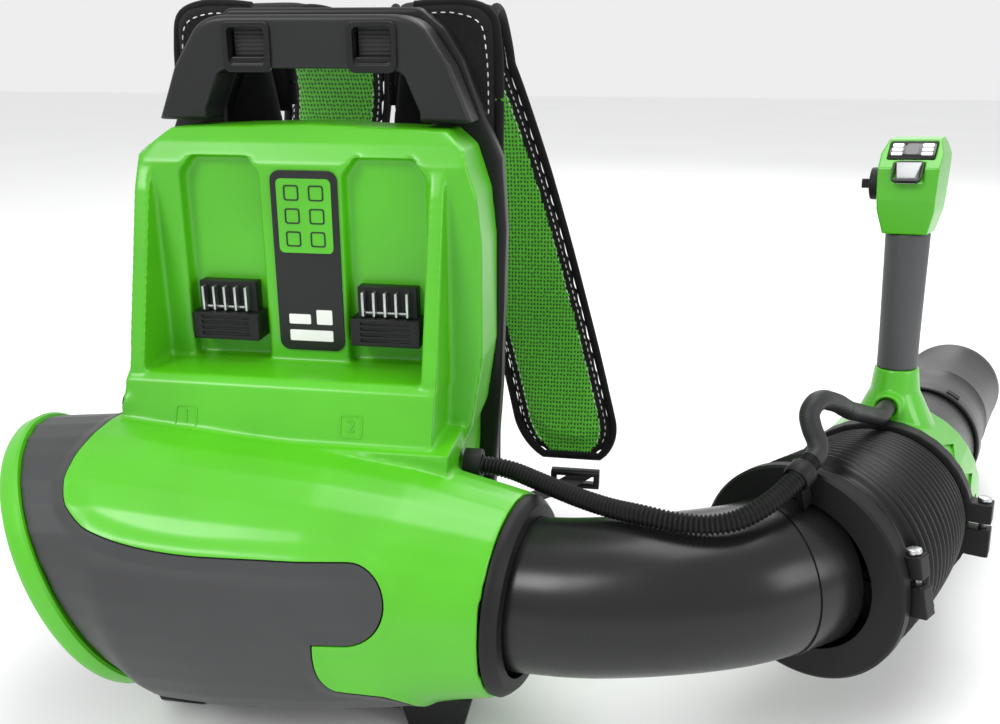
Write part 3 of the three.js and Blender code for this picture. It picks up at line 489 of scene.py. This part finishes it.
def rounded_box(x0, x1, z0, z1, radius, steps=5):
    points = []
    corners = [(x1 - radius, z0 + radius, -90), (x1 - radius, z1 - radius, 0),
               (x0 + radius, z1 - radius, 90), (x0 + radius, z0 + radius, 180)]
    for cx, cz, first in corners:
        for k in range(steps + 1):
            angle = math.radians(first + 90 * k / steps)
            points.append((cx + radius * math.cos(angle), cz + radius * math.sin(angle)))
    return points


def merged(name, objects):
    """Several pieces of one material as one object."""
    work = bmesh.new()
    for obj in objects:
        work.from_mesh(obj.data)
    result = objects[0]
    work.to_mesh(result.data)
    work.free()
    for obj in objects[1:]:
        bpy.data.objects.remove(obj)
    result.name = name
    return result


def freeze(obj):
    """Applies every modifier."""
    graph = bpy.context.evaluated_depsgraph_get()
    mesh = bpy.data.meshes.new_from_object(obj.evaluated_get(graph))
    obj.modifiers.clear()
    obj.data = mesh
    return obj


def copy_of(name, node, material):
    """A welded copy of a CAD node's mesh."""
    obj = bpy.data.objects.new(name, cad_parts[node].data.copy())
    scene.collection.objects.link(obj)
    obj.data.materials.clear()
    obj.data.materials.append(material)
    work = bmesh.new()
    work.from_mesh(obj.data)
    bmesh.ops.remove_doubles(work, verts=work.verts, dist=0.00001)
    work.to_mesh(obj.data)
    work.free()
    return obj


def voxels(obj, size):
    """Rebuilds a mesh on an even grid, so that smoothing rounds every edge alike."""
    remesh = obj.modifiers.new("remesh", "REMESH")
    remesh.mode = "VOXEL"
    remesh.voxel_size = size * MM
    return freeze(obj)


def smooth(obj, rounds, group=""):
    modifier = obj.modifiers.new("smooth", "SMOOTH")
    modifier.factor = 0.5
    modifier.iterations = rounds
    modifier.vertex_group = group


def all_smooth(obj):
    for polygon in obj.data.polygons:
        polygon.use_smooth = True
    return obj


def moulded(node, material, voxel, rounds):
    """A copy of a CAD node with the rounded edges of a moulding."""
    obj = voxels(copy_of(f"{node}_moulded", node, material), voxel)
    smooth(obj, rounds)
    return all_smooth(freeze(obj))


def cut(obj, tool, operation):
    modifier = obj.modifiers.new("cut", "BOOLEAN")
    modifier.operation = operation
    modifier.solver = "MANIFOLD"
    modifier.object = tool
    material = obj.data.materials[0]
    freeze(obj)
    obj.data.materials.clear()
    obj.data.materials.append(material)
    for polygon in obj.data.polygons:
        polygon.material_index = 0
    bpy.data.objects.remove(tool)
    return obj


def fit(obj, body, slot, *nodes):
    """Puts a finished piece on its body and hides the CAD nodes it stands for; the slot is not used."""
    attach(obj, body)
    if nodes:
        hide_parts(*nodes)
    return obj


# ---------------------------------------------------------------- cables
def route(places):
    return [at(*place) for place in places]


def corrugated_conduit():
    """The split loom: rings along its whole length, over the control cable."""
    pitch = 3.4 * MM
    line = catmull_rom(route(CONDUIT_ROUTE), 400)
    count = int(path_length(line) / pitch) * 6 + 1
    points = catmull_rom(route(CONDUIT_ROUTE), count)

    def outer(share):
        return CABLE_R - 0.9 + 0.9 * math.cos(share * (count - 1) / 6 * 2 * math.pi)
    conduit = tube_shell("conduit_loom", points, outer, lambda share: CABLE_R - 3.4, MATT_BLACK, 28)
    fit(conduit, "pack", "bellows_rubber", "conduit")


def sleeve(name, places, node):
    """A smooth stretch of the cable where it passes one joint."""
    points = catmull_rom(route(places), 60)
    piece = tube_shell(name, points, lambda share: CABLE_R, lambda share: CABLE_R - 2, SLEEVE_GREY, 32)
    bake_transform(piece)
    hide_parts(node)


def cable_tie():
    """The strap that holds the cable at the top of the bellows' rear ring."""
    points = catmull_rom(route(CONDUIT_ROUTE), 60)
    way = tangents(points)[-4]
    right = way.cross(UP).normalized()
    basis = Matrix((right, way, right.cross(way))).transposed().to_4x4()
    place = Matrix.Translation(points[-4]) @ basis
    loop = [(8, -6), (9.6, -6.4), (10.4, -5), (10.4, 5), (9.6, 6.4), (8, 6)]
    fit(turned("cable_tie", loop, place, MATT_BLACK, 40), "pack", "black_plastic")
    tail = prism("cable_tie_tail", rounded_box(-3, 3, -30, -9.5, 1), -5, 5, place, MATT_BLACK)
    fit(bevel(tail, 0.6), "pack", "black_plastic")


# ---------------------------------------------------------------- fan housing
def cowl_outline(inset):
    """The dark cowl's edge in mm, seen from behind: it sweeps under the ledge to a pill-shaped end."""
    points = [(-300, 290), (-136 - inset, 290), (-136 - inset, 258)]

    def curve(bend, end, steps=12):
        start = points[-1]
        for k in range(1, steps + 1):
            t = k / steps
            points.append(tuple((1 - t) ** 2 * s + 2 * t * (1 - t) * b + t * t * e
                                for s, b, e in zip(start, bend, end)))
    curve((-160, 222 - inset), (-118, 204 - inset))
    curve((-80, 191 - inset), (-30, 190 - inset))
    radius = 28 - inset
    for k in range(21):
        angle = math.pi / 2 - math.pi * k / 20
        points.append((75 + radius * math.cos(angle), 162 + radius * math.sin(angle)))
    points.append((54 - inset, 134 + inset))
    curve((52 - inset, 100), (66, 92 - inset))
    points.append((98 - inset, 86 - inset))
    curve((118 - inset, 76), (124 - inset, 40))
    points += [(128 - inset, -10), (-300, -10)]
    return points


def faired_housing():
    """Shell and cowl as one body: the parting gap closed, the edges rounded and the fan end faired."""
    body = merged("housing", [copy_of(n, n, SHELL_GREEN) for n in ("rear_shell", "fan_cowl")])
    swell = body.modifiers.new("swell", "DISPLACE")
    swell.strength = 0.5 * MM
    swell.mid_level = 0
    voxels(body, 2.0)
    group = body.vertex_groups.new(name="fan_end")
    for vertex in body.data.vertices:
        share = (FAIRED_BELOW - vertex.co.z / MM) / FAIRING_DEPTH
        group.add([vertex.index], min(max(share, 0.0), 1.0), "REPLACE")
    smooth(body, 30, "fan_end")
    smooth(body, 4)
    return all_smooth(raise_lip(freeze(body), cowl_outline(0), 11, 2.2))


def raise_lip(obj, outline, reach, height):
    """Lifts the surface beside the cowl's edge into a soft lip; reach and height are in mm."""
    count = len(obj.data.vertices)
    places = np.zeros(count * 3)
    normals = np.zeros(count * 3)
    obj.data.vertices.foreach_get("co", places)
    obj.data.vertices.foreach_get("normal", normals)
    places = places.reshape(-1, 3)
    normals = normals.reshape(-1, 3)
    flat = (places[:, [0, 2]] - np.array((ORIGIN.x, ORIGIN.z))) / MM
    nearest = np.full(count, 1e9)
    edge = np.array(outline[2:-3])
    for a, b in zip(edge, edge[1:]):
        way = b - a
        share = np.clip(((flat - a) @ way) / max(way @ way, 1e-9), 0, 1)
        nearest = np.minimum(nearest, np.hypot(*(flat - a - share[:, None] * way).T))
    lift = np.clip(1 - nearest / reach, 0, 1)
    lift = lift * lift * (3 - 2 * lift) * height * MM * (normals[:, 1] < 0.3)
    places += normals * lift[:, None]
    obj.data.vertices.foreach_set("co", places.ravel())
    obj.data.update()
    return obj


LEDGE_FRAME = frame_at((-11, -72.5, 245), Vector((0, -0.947, 0.321)))


def bay_number(name, x, text):
    """A faint raised square with the bay's number in it."""
    outer = rounded_box(x - 9, x + 9, -3, 15, 3)
    inner = rounded_box(x - 8, x + 8, -2, 14, 2.2)
    square = prism(f"{name}_square", outer, -1, 1.0, LEDGE_FRAME, SHELL_GREEN, inner)
    fit(square, "pack", "green_shell")
    curve = bpy.data.curves.new(name, "FONT")
    curve.body = text
    curve.size = 14 * MM
    curve.extrude = 0.5 * MM
    curve.align_x = "CENTER"
    curve.align_y = "CENTER"
    curve.materials.append(SHELL_GREEN)
    number = bpy.data.objects.new(name, curve)
    scene.collection.objects.link(number)
    facing = Matrix.Rotation(math.pi, 4, "Z") @ Matrix.Rotation(math.pi / 2, 4, "X")
    number.matrix_world = LEDGE_FRAME @ Matrix.Translation(Vector((x, 0.5, 6)) * MM) @ facing
    fit(number, "pack", "green_shell")


def face_off(obj):
    """Cuts the faired body flat where the outlet collar and the intake ring seat."""
    for matrix, reach, depth in ((OUTLET_FRAME, OUTLET_SEAT, -1.0), (INTAKE_FRAME, INTAKE_SEAT, -0.8)):
        tool = prism("tool", rounded_box(-reach, reach, -reach, reach, 30), depth, 40, matrix, BLACK)
        cut(obj, tool, "DIFFERENCE")


def housing():
    body = faired_housing()
    face_off(body)
    cowl = bpy.data.objects.new("fan_cowl_moulded", body.data.copy())
    scene.collection.objects.link(cowl)
    cowl.data.materials[0] = GREY
    cut(body, prism("tool", cowl_outline(0), -400, 200, BODY_FRAME, BLACK), "DIFFERENCE")
    bay_number("bay_number_1", 72, "1")
    bay_number("bay_number_2", -62, "2")
    cut(cowl, prism("tool", cowl_outline(1.2), -400, 200, BODY_FRAME, BLACK), "INTERSECT")
    for obj in (body, cowl):
        soften(bevel(obj, 0.5, 2, 50), 50)
    fit(body, "pack", "green_shell", "rear_shell")
    fit(cowl, "pack", "grey_plastic", "fan_cowl")
    rim = [(109, 0.5), (109, 15.5), (110.5, 17.2), (114.5, 15.5), (117, 11), (117, 2), (115, 0.5)]
    fit(turned("intake_rim", rim, INTAKE_FRAME, SHELL_GREEN, 128), "pack", "green_shell", "intake_ring")
    throat = [(103, 2), (103, 13), (104.5, 14.8), (108.7, 15.2), (108.7, 0.5), (105, 0.5)]
    fit(turned("intake_throat", throat, INTAKE_FRAME, MATT_BLACK, 128), "pack", "black_plastic")


WINDOW_PLACES = (-49, 52)


def carry_frame():
    voxel = 1.5
    handle = copy_of("carry_handle_moulded", "carry_handle", HANDLE_GREY)
    smooth(voxels(handle, voxel), 5)
    all_smooth(freeze(handle))
    fit(handle, "pack", "grey_plastic", "carry_handle")
    frame_piece = moulded("back_frame", BLACK, 2.0, 5)
    fit(frame_piece, "pack", "black_plastic", "back_frame")
    for side, x in zip(("left", "right"), WINDOW_PLACES):
        outer = rounded_box(x - 19.5, x + 19.5, 507, 545, 6)
        inner = rounded_box(x - 15, x + 15, 513.5, 540.5, 3.5)
        ring = prism(f"window_frame_{side}", outer, 17.4, 23, BODY_FRAME, BLACK, inner)
        fit(bevel(ring, 1.0), "pack", "black_plastic")
        back = prism(f"window_back_{side}", rounded_box(x - 15.8, x + 15.8, 512.2, 540.8, 3), 38, 40,
                     BODY_FRAME, MATT_BLACK)
        fit(back, "pack", "black_plastic")
        strip = prism(f"window_webbing_{side}", rounded_box(x - 12.5, x + 12.5, 516, 541, 1), 27, 29.5,
                      BODY_FRAME, WEBBING)
        fit(strip, "pack", "harness_fabric")
        bar = prism(f"window_bar_{side}", rounded_box(x - 15.6, x + 15.6, 514, 519, 2), 21, 26,
                    BODY_FRAME, BLACK)
        fit(bevel(bar, 1.0), "pack", "black_plastic")


def feet():
    for side in ("left", "right"):
        fit(moulded(f"foot_{side}", BLACK, 1.5, 5), "pack", "black_plastic", f"foot_{side}")


# ---------------------------------------------------------------- duct, bellows and tube
ELBOW_LINE = catmull_rom(route([
    (180, -90.6, 131.5), (232, -99, 138), (286, -99, 146), (338, -86, 150), (370, -67, 150),
    (396, -46, 149)]), 121)
REAR_WAY = heading(REAR_HEADING)
TUBE_WAY = heading(TUBE_HEADING, TUBE_PITCH)
BELLOWS_LINE = bezier(
    at(*REAR_CUFF) - REAR_WAY * 0.004, at(*REAR_CUFF) + REAR_WAY * 0.055,
    at(*TUBE_ROOT) - TUBE_WAY * 0.058, at(*TUBE_ROOT) - TUBE_WAY * 0.002, 1001)


def elbow():
    tube = tube_shell("elbow", ELBOW_LINE, lambda share: ELBOW_R, lambda share: ELBOW_R - 3, DUCT_BLACK)
    fit(tube, "pack", "black_plastic", "elbow_tube")
    collar = [(61, 0.5), (76, 0.5), (76, 4), (74, 7), (70, 11), (66, 11.5), (61, 11.5)]
    fit(turned("outlet_ring", collar, OUTLET_FRAME, MATT_BLACK), "pack", "black_plastic", "outlet_collar")
    seam = tube_shell("elbow_bead", ELBOW_LINE[101:104], lambda share: ELBOW_R + 1.0,
                      lambda share: ELBOW_R - 1, DUCT_BLACK)
    fit(seam, "pack", "black_plastic")


def bellows_radius(t):
    """The bellows' outer radius in mm at a share of its whole length: cuffs at both ends, ribs between."""
    crest = BELLOWS_R + (NECK_R + 2 - BELLOWS_R) * t
    if t < 0.12:
        return BELLOWS_CUFF_R
    if t > 0.93:
        return NECK_R
    ribs = 15
    phase = (t - 0.12) / 0.81 * ribs
    dip = abs(math.cos(math.pi * phase)) ** 2.2
    depth = 6.4
    ease = min((t - 0.12) / 0.03, (0.93 - t) / 0.03, 1.0)
    start = BELLOWS_CUFF_R if t < 0.5 else NECK_R
    return start + (crest - depth * dip - start) * ease


def bellows_inside(t):
    return BELLOWS_CUFF_R - 5.6 + (NECK_R - 3.2 - BELLOWS_CUFF_R + 5.6) * t


def bellows_stretch(name, first, last):
    points = BELLOWS_LINE[first:last + 1:2]
    span = len(points) - 1

    def place(share):
        return (first + share * span * 2) / 1000
    return tube_shell(name, points, lambda share: bellows_radius(place(share)),
                      lambda share: bellows_inside(place(share)), BELLOWS_BLACK, 80)


def bellows():
    rear = bellows_stretch("bellows_ribs_rear", 4, 460)
    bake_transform(rear)
    middle = bellows_stretch("bellows_ribs_middle", 460, 540)
    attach(middle, "bellows_mid")
    front = bellows_stretch("bellows_ribs_front", 540, 984)
    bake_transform(front)
    for piece, node in ((rear, "bellows_rear"), (middle, "bellows_middle"), (front, "bellows_front")):
        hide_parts(node)
    for side in ("rear", "front"):
        body = "pack" if side == "rear" else "tube"
        band = moulded(f"{side}_clamp", MATT_BLACK, 0.9, 3)
        fit(band, body, "black_plastic", f"{side}_clamp")
    disc = [(60, -16), (82, -16), (84, -14.5), (84, -6.5), (82, -5.2), (66, -5), (66, 13), (60, 13)]
    ring = turned("swivel_ring", disc, REAR_FRAME, MATT_BLACK)
    fit(ring, "pack", "black_plastic", "swivel_collar")


def tube_and_nozzle():
    neck = NECK_R - 4
    tube = [(neck, -16), (neck, 12), (66, 18), (TUBE_R - 1, 40), (TUBE_R - 1, TUBE_LENGTH + 28),
            (TUBE_R - 3.6, TUBE_LENGTH + 28), (TUBE_R - 3.6, 40), (63, 18), (neck - 2.6, 12),
            (neck - 2.6, -16)]
    tube_body = bevel(turned("tube_body", tube, TUBE_FRAME, DUCT_BLACK), 1.0)
    fit(tube_body, "tube", "black_plastic", "blower_tube")
    out = TUBE_LENGTH
    far = TUBE_LENGTH + NOZZLE_LENGTH
    nozzle = [(57.6, out), (60, out), (61, out + 1.5), (61, out + 24), (60.4, out + 26), (60, out + 34),
              (58, out + 60), (57.4, out + 110), (57.9, out + 111), (57.9, out + 113), (57.3, out + 114),
              (56.9, far - 20), (57.5, far - 18), (57.5, far - 2), (55, far), (53, far - 1),
              (55, out + 60), (57.6, out + 30)]
    nozzle_body = bevel(turned("nozzle_body", nozzle, TUBE_FRAME, BELLOWS_BLACK), 0.5)
    fit(nozzle_body, "nozzle", "black_plastic", "nozzle")
    lug_outline = rounded_box(-7, 7, 60.6, 61.9, 0.5, 3)
    lugs = []
    for angle in (60, 100, 240):
        matrix = TUBE_FRAME @ Matrix.Rotation(math.radians(90 - angle), 4, "Y")
        lugs.append(prism("slot", lug_outline, out + 8, out + 20, matrix, MATT_BLACK))
    fit(bevel(merged("bayonet_lugs", lugs), 0.4), "nozzle", "black_plastic")


# ---------------------------------------------------------------- handle and controls
def display_frame():
    outward = Vector((0, -0.68, 0.73)).normalized()
    right = outward.cross(UP).normalized()
    basis = Matrix((right, outward, right.cross(outward))).transposed().to_4x4()
    return TUBE_FRAME @ Matrix.Translation(Vector((0, HANDLE_ALONG - 13, HEAD_TOP - 12)) * MM) @ basis


def radial_frame(degrees):
    """The tube's frame turned so that its Y axis points outward at an angle from the side to the top."""
    angle = math.radians(degrees)
    outward = Vector((math.cos(angle), 0, math.sin(angle)))
    along = Vector((0, 1, 0))
    basis = Matrix((along, outward, along.cross(outward))).transposed().to_4x4()
    return TUBE_FRAME @ basis


def handle():
    bracket = moulded("handle_bracket", HANDLE_GREEN, 1.0, 4)
    pockets = [(44, [(20, 7), (46, -1), (20, -9)]), (20, [(22, 9), (54, 0), (22, -9)]),
               (2, [(24, 7), (60, 4), (60, -3), (24, -7)]), (136, [(20, 9), (46, 1), (20, -7)])]
    for degrees, outline in pockets:
        cut(bracket, prism("tool", outline, 71.6, 96, radial_frame(degrees), BLACK), "DIFFERENCE")
    fit(soften(bevel(bracket, 0.4, 2, 50), 50), "tube", "green_shell", "handle_bracket")
    fit(moulded("control_head", HANDLE_GREEN, 0.8, 5), "tube", "green_shell", "control_head")
    grip = moulded("grip_sleeve", GRIP_RUBBER, 0.9, 4)
    fit(grip, "tube", "grip_rubber", "grip_sleeve")
    fit(moulded("trigger", MATT_BLACK, 0.7, 4), "trigger", "black_plastic", "trigger")
    fit(moulded("cruise_lever", MATT_BLACK, 0.7, 3), "cruise_lever", "black_plastic", "cruise_lever")
    matrix = display_frame()
    lamps = []
    for x in (-12, 12):
        for k in range(3):
            lamps.append(prism("lamp", rounded_box(x - 4.4, x + 4.4, -6 + 5 * k, -2.2 + 5 * k, 1, 3),
                               0.4, 1.2, matrix, LAMP_WHITE))
    fit(merged("charge_lamps", lamps), "tube", "display")
    centre = prism("display_centre", rounded_box(-5, 5, -5, 8, 2), 0.4, 1.0, matrix, LIGHT_GREY)
    fit(centre, "tube", "display")
    surround = prism("button_surround", rounded_box(-12, 12, -36, -12.4, 5), -2, 0.7, matrix, BLACK,
                     rounded_box(-10.7, 10.7, -34, -14, 3))
    fit(surround, "tube", "black_plastic")


# ---------------------------------------------------------------- harness
def smoothstep(value, low, high):
    share = min(max((value - low) / (high - low), 0.0), 1.0)
    return share * share * (3 - 2 * share)


def strap_spread(sign, across, y, z):
    """Where a point across a strap lies from the centre plane; the left strap leans inward."""
    splay = 0 if y < 170 else STRAP_SPLAY * max(0.0, 509 - z)
    lean = LEFT_LEAN * smoothstep(y, 105, 255) if sign < 0 else 0
    widen = STRAP_WIDEN * smoothstep(y, 110, 200) * (1 - across / STRAP_HALF_WIDTH)
    return STRAP_ROOT + splay - lean + across - widen


def strap_half(share):
    """Half the pad's width in mm at a share of its length; it narrows toward the lower end."""
    past = max(0.0, (share - STRAP_END_FROM) / STRAP_END_SHARE)
    return (STRAP_HALF_WIDTH - STRAP_HEM) * math.sqrt(1 - 0.8 * past * past)


def strap_stations(count):
    """Places along the strap in mm: (y, z) of its middle and the unit (y, z) normal of its inner face."""
    line = catmull_rom([Vector((0, y, z)) for y, z in STRAP_LINE], count)
    return [(p.y, p.z, t.z, -t.y) for p, t in zip(line, tangents(line))]


def strap_point(station, across, out, sign):
    y, z, ny, nz = station
    return at(sign * strap_spread(sign, across, y, z), y + ny * out, z + nz * out)


def strap_edge(edge, inset, out, sign):
    """Points along one edge of the pad, an inset in from it and a distance out from its middle."""
    stations = strap_stations(160)
    points = [strap_point(station, edge * (strap_half(i / 159) - inset), out, sign)
              for i, station in enumerate(stations)]
    return points[2:-1]


def strap_shape(name, sign):
    """The pad: a lens-shaped section swept along the strap's line."""
    stations = strap_stations(90)
    rings = []
    for i, station in enumerate(stations):
        half = strap_half(i / (len(stations) - 1))
        end = min(i, len(stations) - 1 - i) / 3
        thin = min(0.35 + 0.65 * end, 1.0)
        ring = []
        for k in range(28):
            angle = 2 * math.pi * k / 28
            c, s = math.cos(angle), math.sin(angle)
            across = half * math.copysign(abs(c) ** 0.55, c)
            thick = STRAP_THICKNESS / 2 * 0.86 * thin * math.copysign(abs(s) ** 0.6, s)
            ring.append(strap_point(station, across, thick, sign))
        rings.append(ring)
    return skin(name, rings, MESH_GREEN)


def inflate(obj, cap, pressure=4.0, voxel=5.0):
    """Puffs a pad with a short cloth simulation; no point may move further than cap mm."""
    voxels(obj, voxel)
    before = [v.co.copy() for v in obj.data.vertices]
    cloth = obj.modifiers.new("cloth", "CLOTH")
    cloth.settings.use_pressure = True
    cloth.settings.uniform_pressure_force = pressure
    cloth.settings.effector_weights.gravity = 0
    cloth.settings.quality = 5
    for step in range(1, 21):
        scene.frame_set(step)
    freeze(obj)
    scene.frame_set(1)
    for vertex, start in zip(obj.data.vertices, before):
        move = vertex.co - start
        if move.length > cap * MM:
            vertex.co = start + move.normalized() * cap * MM
    subdivision = obj.modifiers.new("subdivision", "SUBSURF")
    subdivision.levels = 1
    subdivision.render_levels = 1
    freeze(obj)
    for polygon in obj.data.polygons:
        polygon.use_smooth = True
    return obj


def colour_strap(obj, sign):
    """Green mesh on the middle of the inner face; black cloth on the edges and the outer face."""
    obj.data.materials.append(FABRIC)
    stations = strap_stations(200)
    for polygon in obj.data.polygons:
        centre = (polygon.center - ORIGIN) / MM
        place = min(range(200), key=lambda i: math.dist(stations[i][:2], (centre.y, centre.z)))
        nearest = stations[place]
        mesh = strap_half(place / 199) - STRAP_BORDER
        edges = [strap_spread(sign, edge * mesh, nearest[0], nearest[1]) for edge in (-1, 1)]
        inside = edges[0] < sign * centre.x < edges[1]
        facing = polygon.normal.y * nearest[2] + polygon.normal.z * nearest[3]
        polygon.material_index = 0 if inside and facing > 0 else 1


def edge_cord(name, points, radius, material):
    """A round binding along points."""
    facing = tangents(points)
    rings = [circle(p, f, radius * MM, 12) for p, f in zip(points, facing)]
    return skin(name, rings, material)


def stitches(name, points, length=4.2, gap=3.0, radius=0.55):
    """A row of thread dashes along points."""
    total = path_length(points)
    count = max(int(total / ((length + gap) * MM)), 1)
    line = evenly(points, count * 7 + 1)
    dashes = []
    for k in range(count):
        run = line[k * 7:k * 7 + 5]
        facing = tangents(run)
        sizes = (0.35, 1.0, 1.0, 1.0, 0.35)
        dashes.append(skin(name, [circle(p, f, radius * MM * s, 6)
                                  for p, f, s in zip(run, facing, sizes)], THREAD))
    return merged(name, dashes)


def shoulder_strap(side, sign):
    pad = inflate(strap_shape(f"strap_pad_{side}", sign), 3.0)
    colour_strap(pad, sign)
    fit(pad, "pack", "strap_mesh", f"shoulder_strap_{side}")
    inner, outer = (strap_edge(edge, 0, 0, sign) for edge in (-1, 1))
    across_end = [outer[-1].lerp(inner[-1], share / 8) for share in range(1, 8)]
    rim = outer + across_end + inner[::-1]
    binding = edge_cord(f"strap_binding_{side}", rim, STRAP_BINDING_R, BINDING)
    fit(binding, "pack", "harness_fabric")
    for edge, label in ((-1, "inner"), (1, "outer")):
        for row, inset in (("a", 6.5), ("b", 11.5)):
            seam = strap_edge(edge, inset, 6.6, sign)[:-3]
            fit(stitches(f"strap_stitch_{row}_{label}_{side}", seam), "pack", "harness_fabric")
    fit_webbing(side)


def fit_webbing(side):
    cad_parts[f"strap_webbing_{side}"].data.materials.clear()
    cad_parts[f"strap_webbing_{side}"].data.materials.append(WEBBING)


def back_pad():
    pad = inflate(copy_of("back_pad", "back_panel", FABRIC), 3.0)
    fit(pad, "pack", "harness_fabric", "back_panel")
    for side, sign in (("left", -1), ("right", 1)):
        line = [(138, 150), (139, 350), (139.5, 530), (134, 552), (116, 559.5), (92, 560), (72, 558)]
        points = catmull_rom([at(sign * (x - 2), 86, z - 1) for x, z in line], 120)
        binding = edge_cord(f"panel_binding_{side}", points, PANEL_BINDING_R, BINDING)
        fit(binding, "pack", "harness_fabric")
        seam = catmull_rom([at(sign * (x - 9), 76.6, z - 8) for x, z in line[:-1]], 160)
        fit(stitches(f"panel_stitch_{side}", seam), "pack", "harness_fabric")


def belt():
    pad = inflate(copy_of("hip_pad", "waist_belt", FABRIC), 3.0)
    fit(pad, "pack", "harness_fabric", "waist_belt")


# ---------------------------------------------------------------- remaining CAD nodes
def paint(material, *nodes):
    for node in nodes:
        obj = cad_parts[node]
        obj.data.materials.clear()
        obj.data.materials.append(material)
        weld = obj.modifiers.new("weld", "WELD")
        weld.merge_threshold = 0.00001
        bevel(obj, 0.5, 2, 40)
        for polygon in obj.data.polygons:
            polygon.use_smooth = True


def paint_nodes():
    paint(BLACK, "intake_grille", "fan_duct", "fan_rotor", "motor_mount", "base_bar")
    paint(BLACK, "terminal_block_left", "terminal_block_right", "strap_buckle_left", "strap_buckle_right")
    paint(MATT_BLACK, "cable_gland")
    paint(HANDLE_GREY, "label_plate")
    paint(STEEL, "motor_shaft", "motor_magnet", "front_bearing", "rear_bearing", "housing_screw_1",
          "housing_screw_2", "rear_clamp_screw", "rear_clamp_nut", "front_clamp_screw",
          "front_clamp_nut", "contact_blades_left", "contact_blades_right")
    paint(COPPER, "motor_stator")
    paint(ALUMINIUM, "heat_sink")
    paint(BOARD, "controller_board")
    paint(GLOSS_BLACK, "display_window")
    paint(SILVER, "power_button")
    paint(HANDLE_GREEN, "handle_core")


# ---------------------------------------------------------------- small details of the shell
def label():
    """The bay label: a green panel of blank boxes over blank white ones."""
    face = -14.4
    panel = rounded_box(-19, 25, 372, 430, 4)
    green = prism("label_green", panel, face - 0.5, face + 0.1, BODY_FRAME, SHELL_GREEN)
    fit(green, "pack", "green_shell")
    boxes = []
    for row in range(3):
        for x in (-13, 7):
            z = 377 + 18 * row
            boxes.append(prism("box", rounded_box(x, x + 12, z, z + 12, 2), face - 1, face - 0.4, BODY_FRAME,
                               HANDLE_GREY, rounded_box(x + 1, x + 11, z + 1, z + 11, 1.4)))
    fit(merged("label_boxes", boxes), "pack", "grey_plastic")
    prints = [rounded_box(-15, 21, 300, 309, 1), rounded_box(-15, 3, 314, 322, 1),
              rounded_box(8, 21, 314, 326, 1)]
    pale = [prism("print", shape, face - 0.5, face + 0.1, BODY_FRAME, WHITE_PRINT) for shape in prints]
    fit(merged("label_blanks", pale), "pack", "grey_plastic")


def add_floor():
    half = FLOOR_HALF_M
    corners = [Vector((x * half, y * half, 0)) for x, y in ((-1, -1), (1, -1), (1, 1), (-1, 1))]
    floor = new_piece("floor", corners, [(0, 1, 2, 3)], floor_material())


def build():
    add_camera()
    add_lights()
    corrugated_conduit()
    sleeve("sleeve_rear", SLEEVE_REAR_ROUTE, "cable_sleeve_rear")
    sleeve("sleeve_front", SLEEVE_FRONT_ROUTE, "cable_sleeve_front")
    cable_tie()
    paint_nodes()
    housing()
    carry_frame()
    feet()
    elbow()
    bellows()
    tube_and_nozzle()
    handle()
    for side, sign in (("left", -1), ("right", 1)):
        shoulder_strap(side, sign)
    back_pad()
    belt()
    label()
    add_floor()


build()
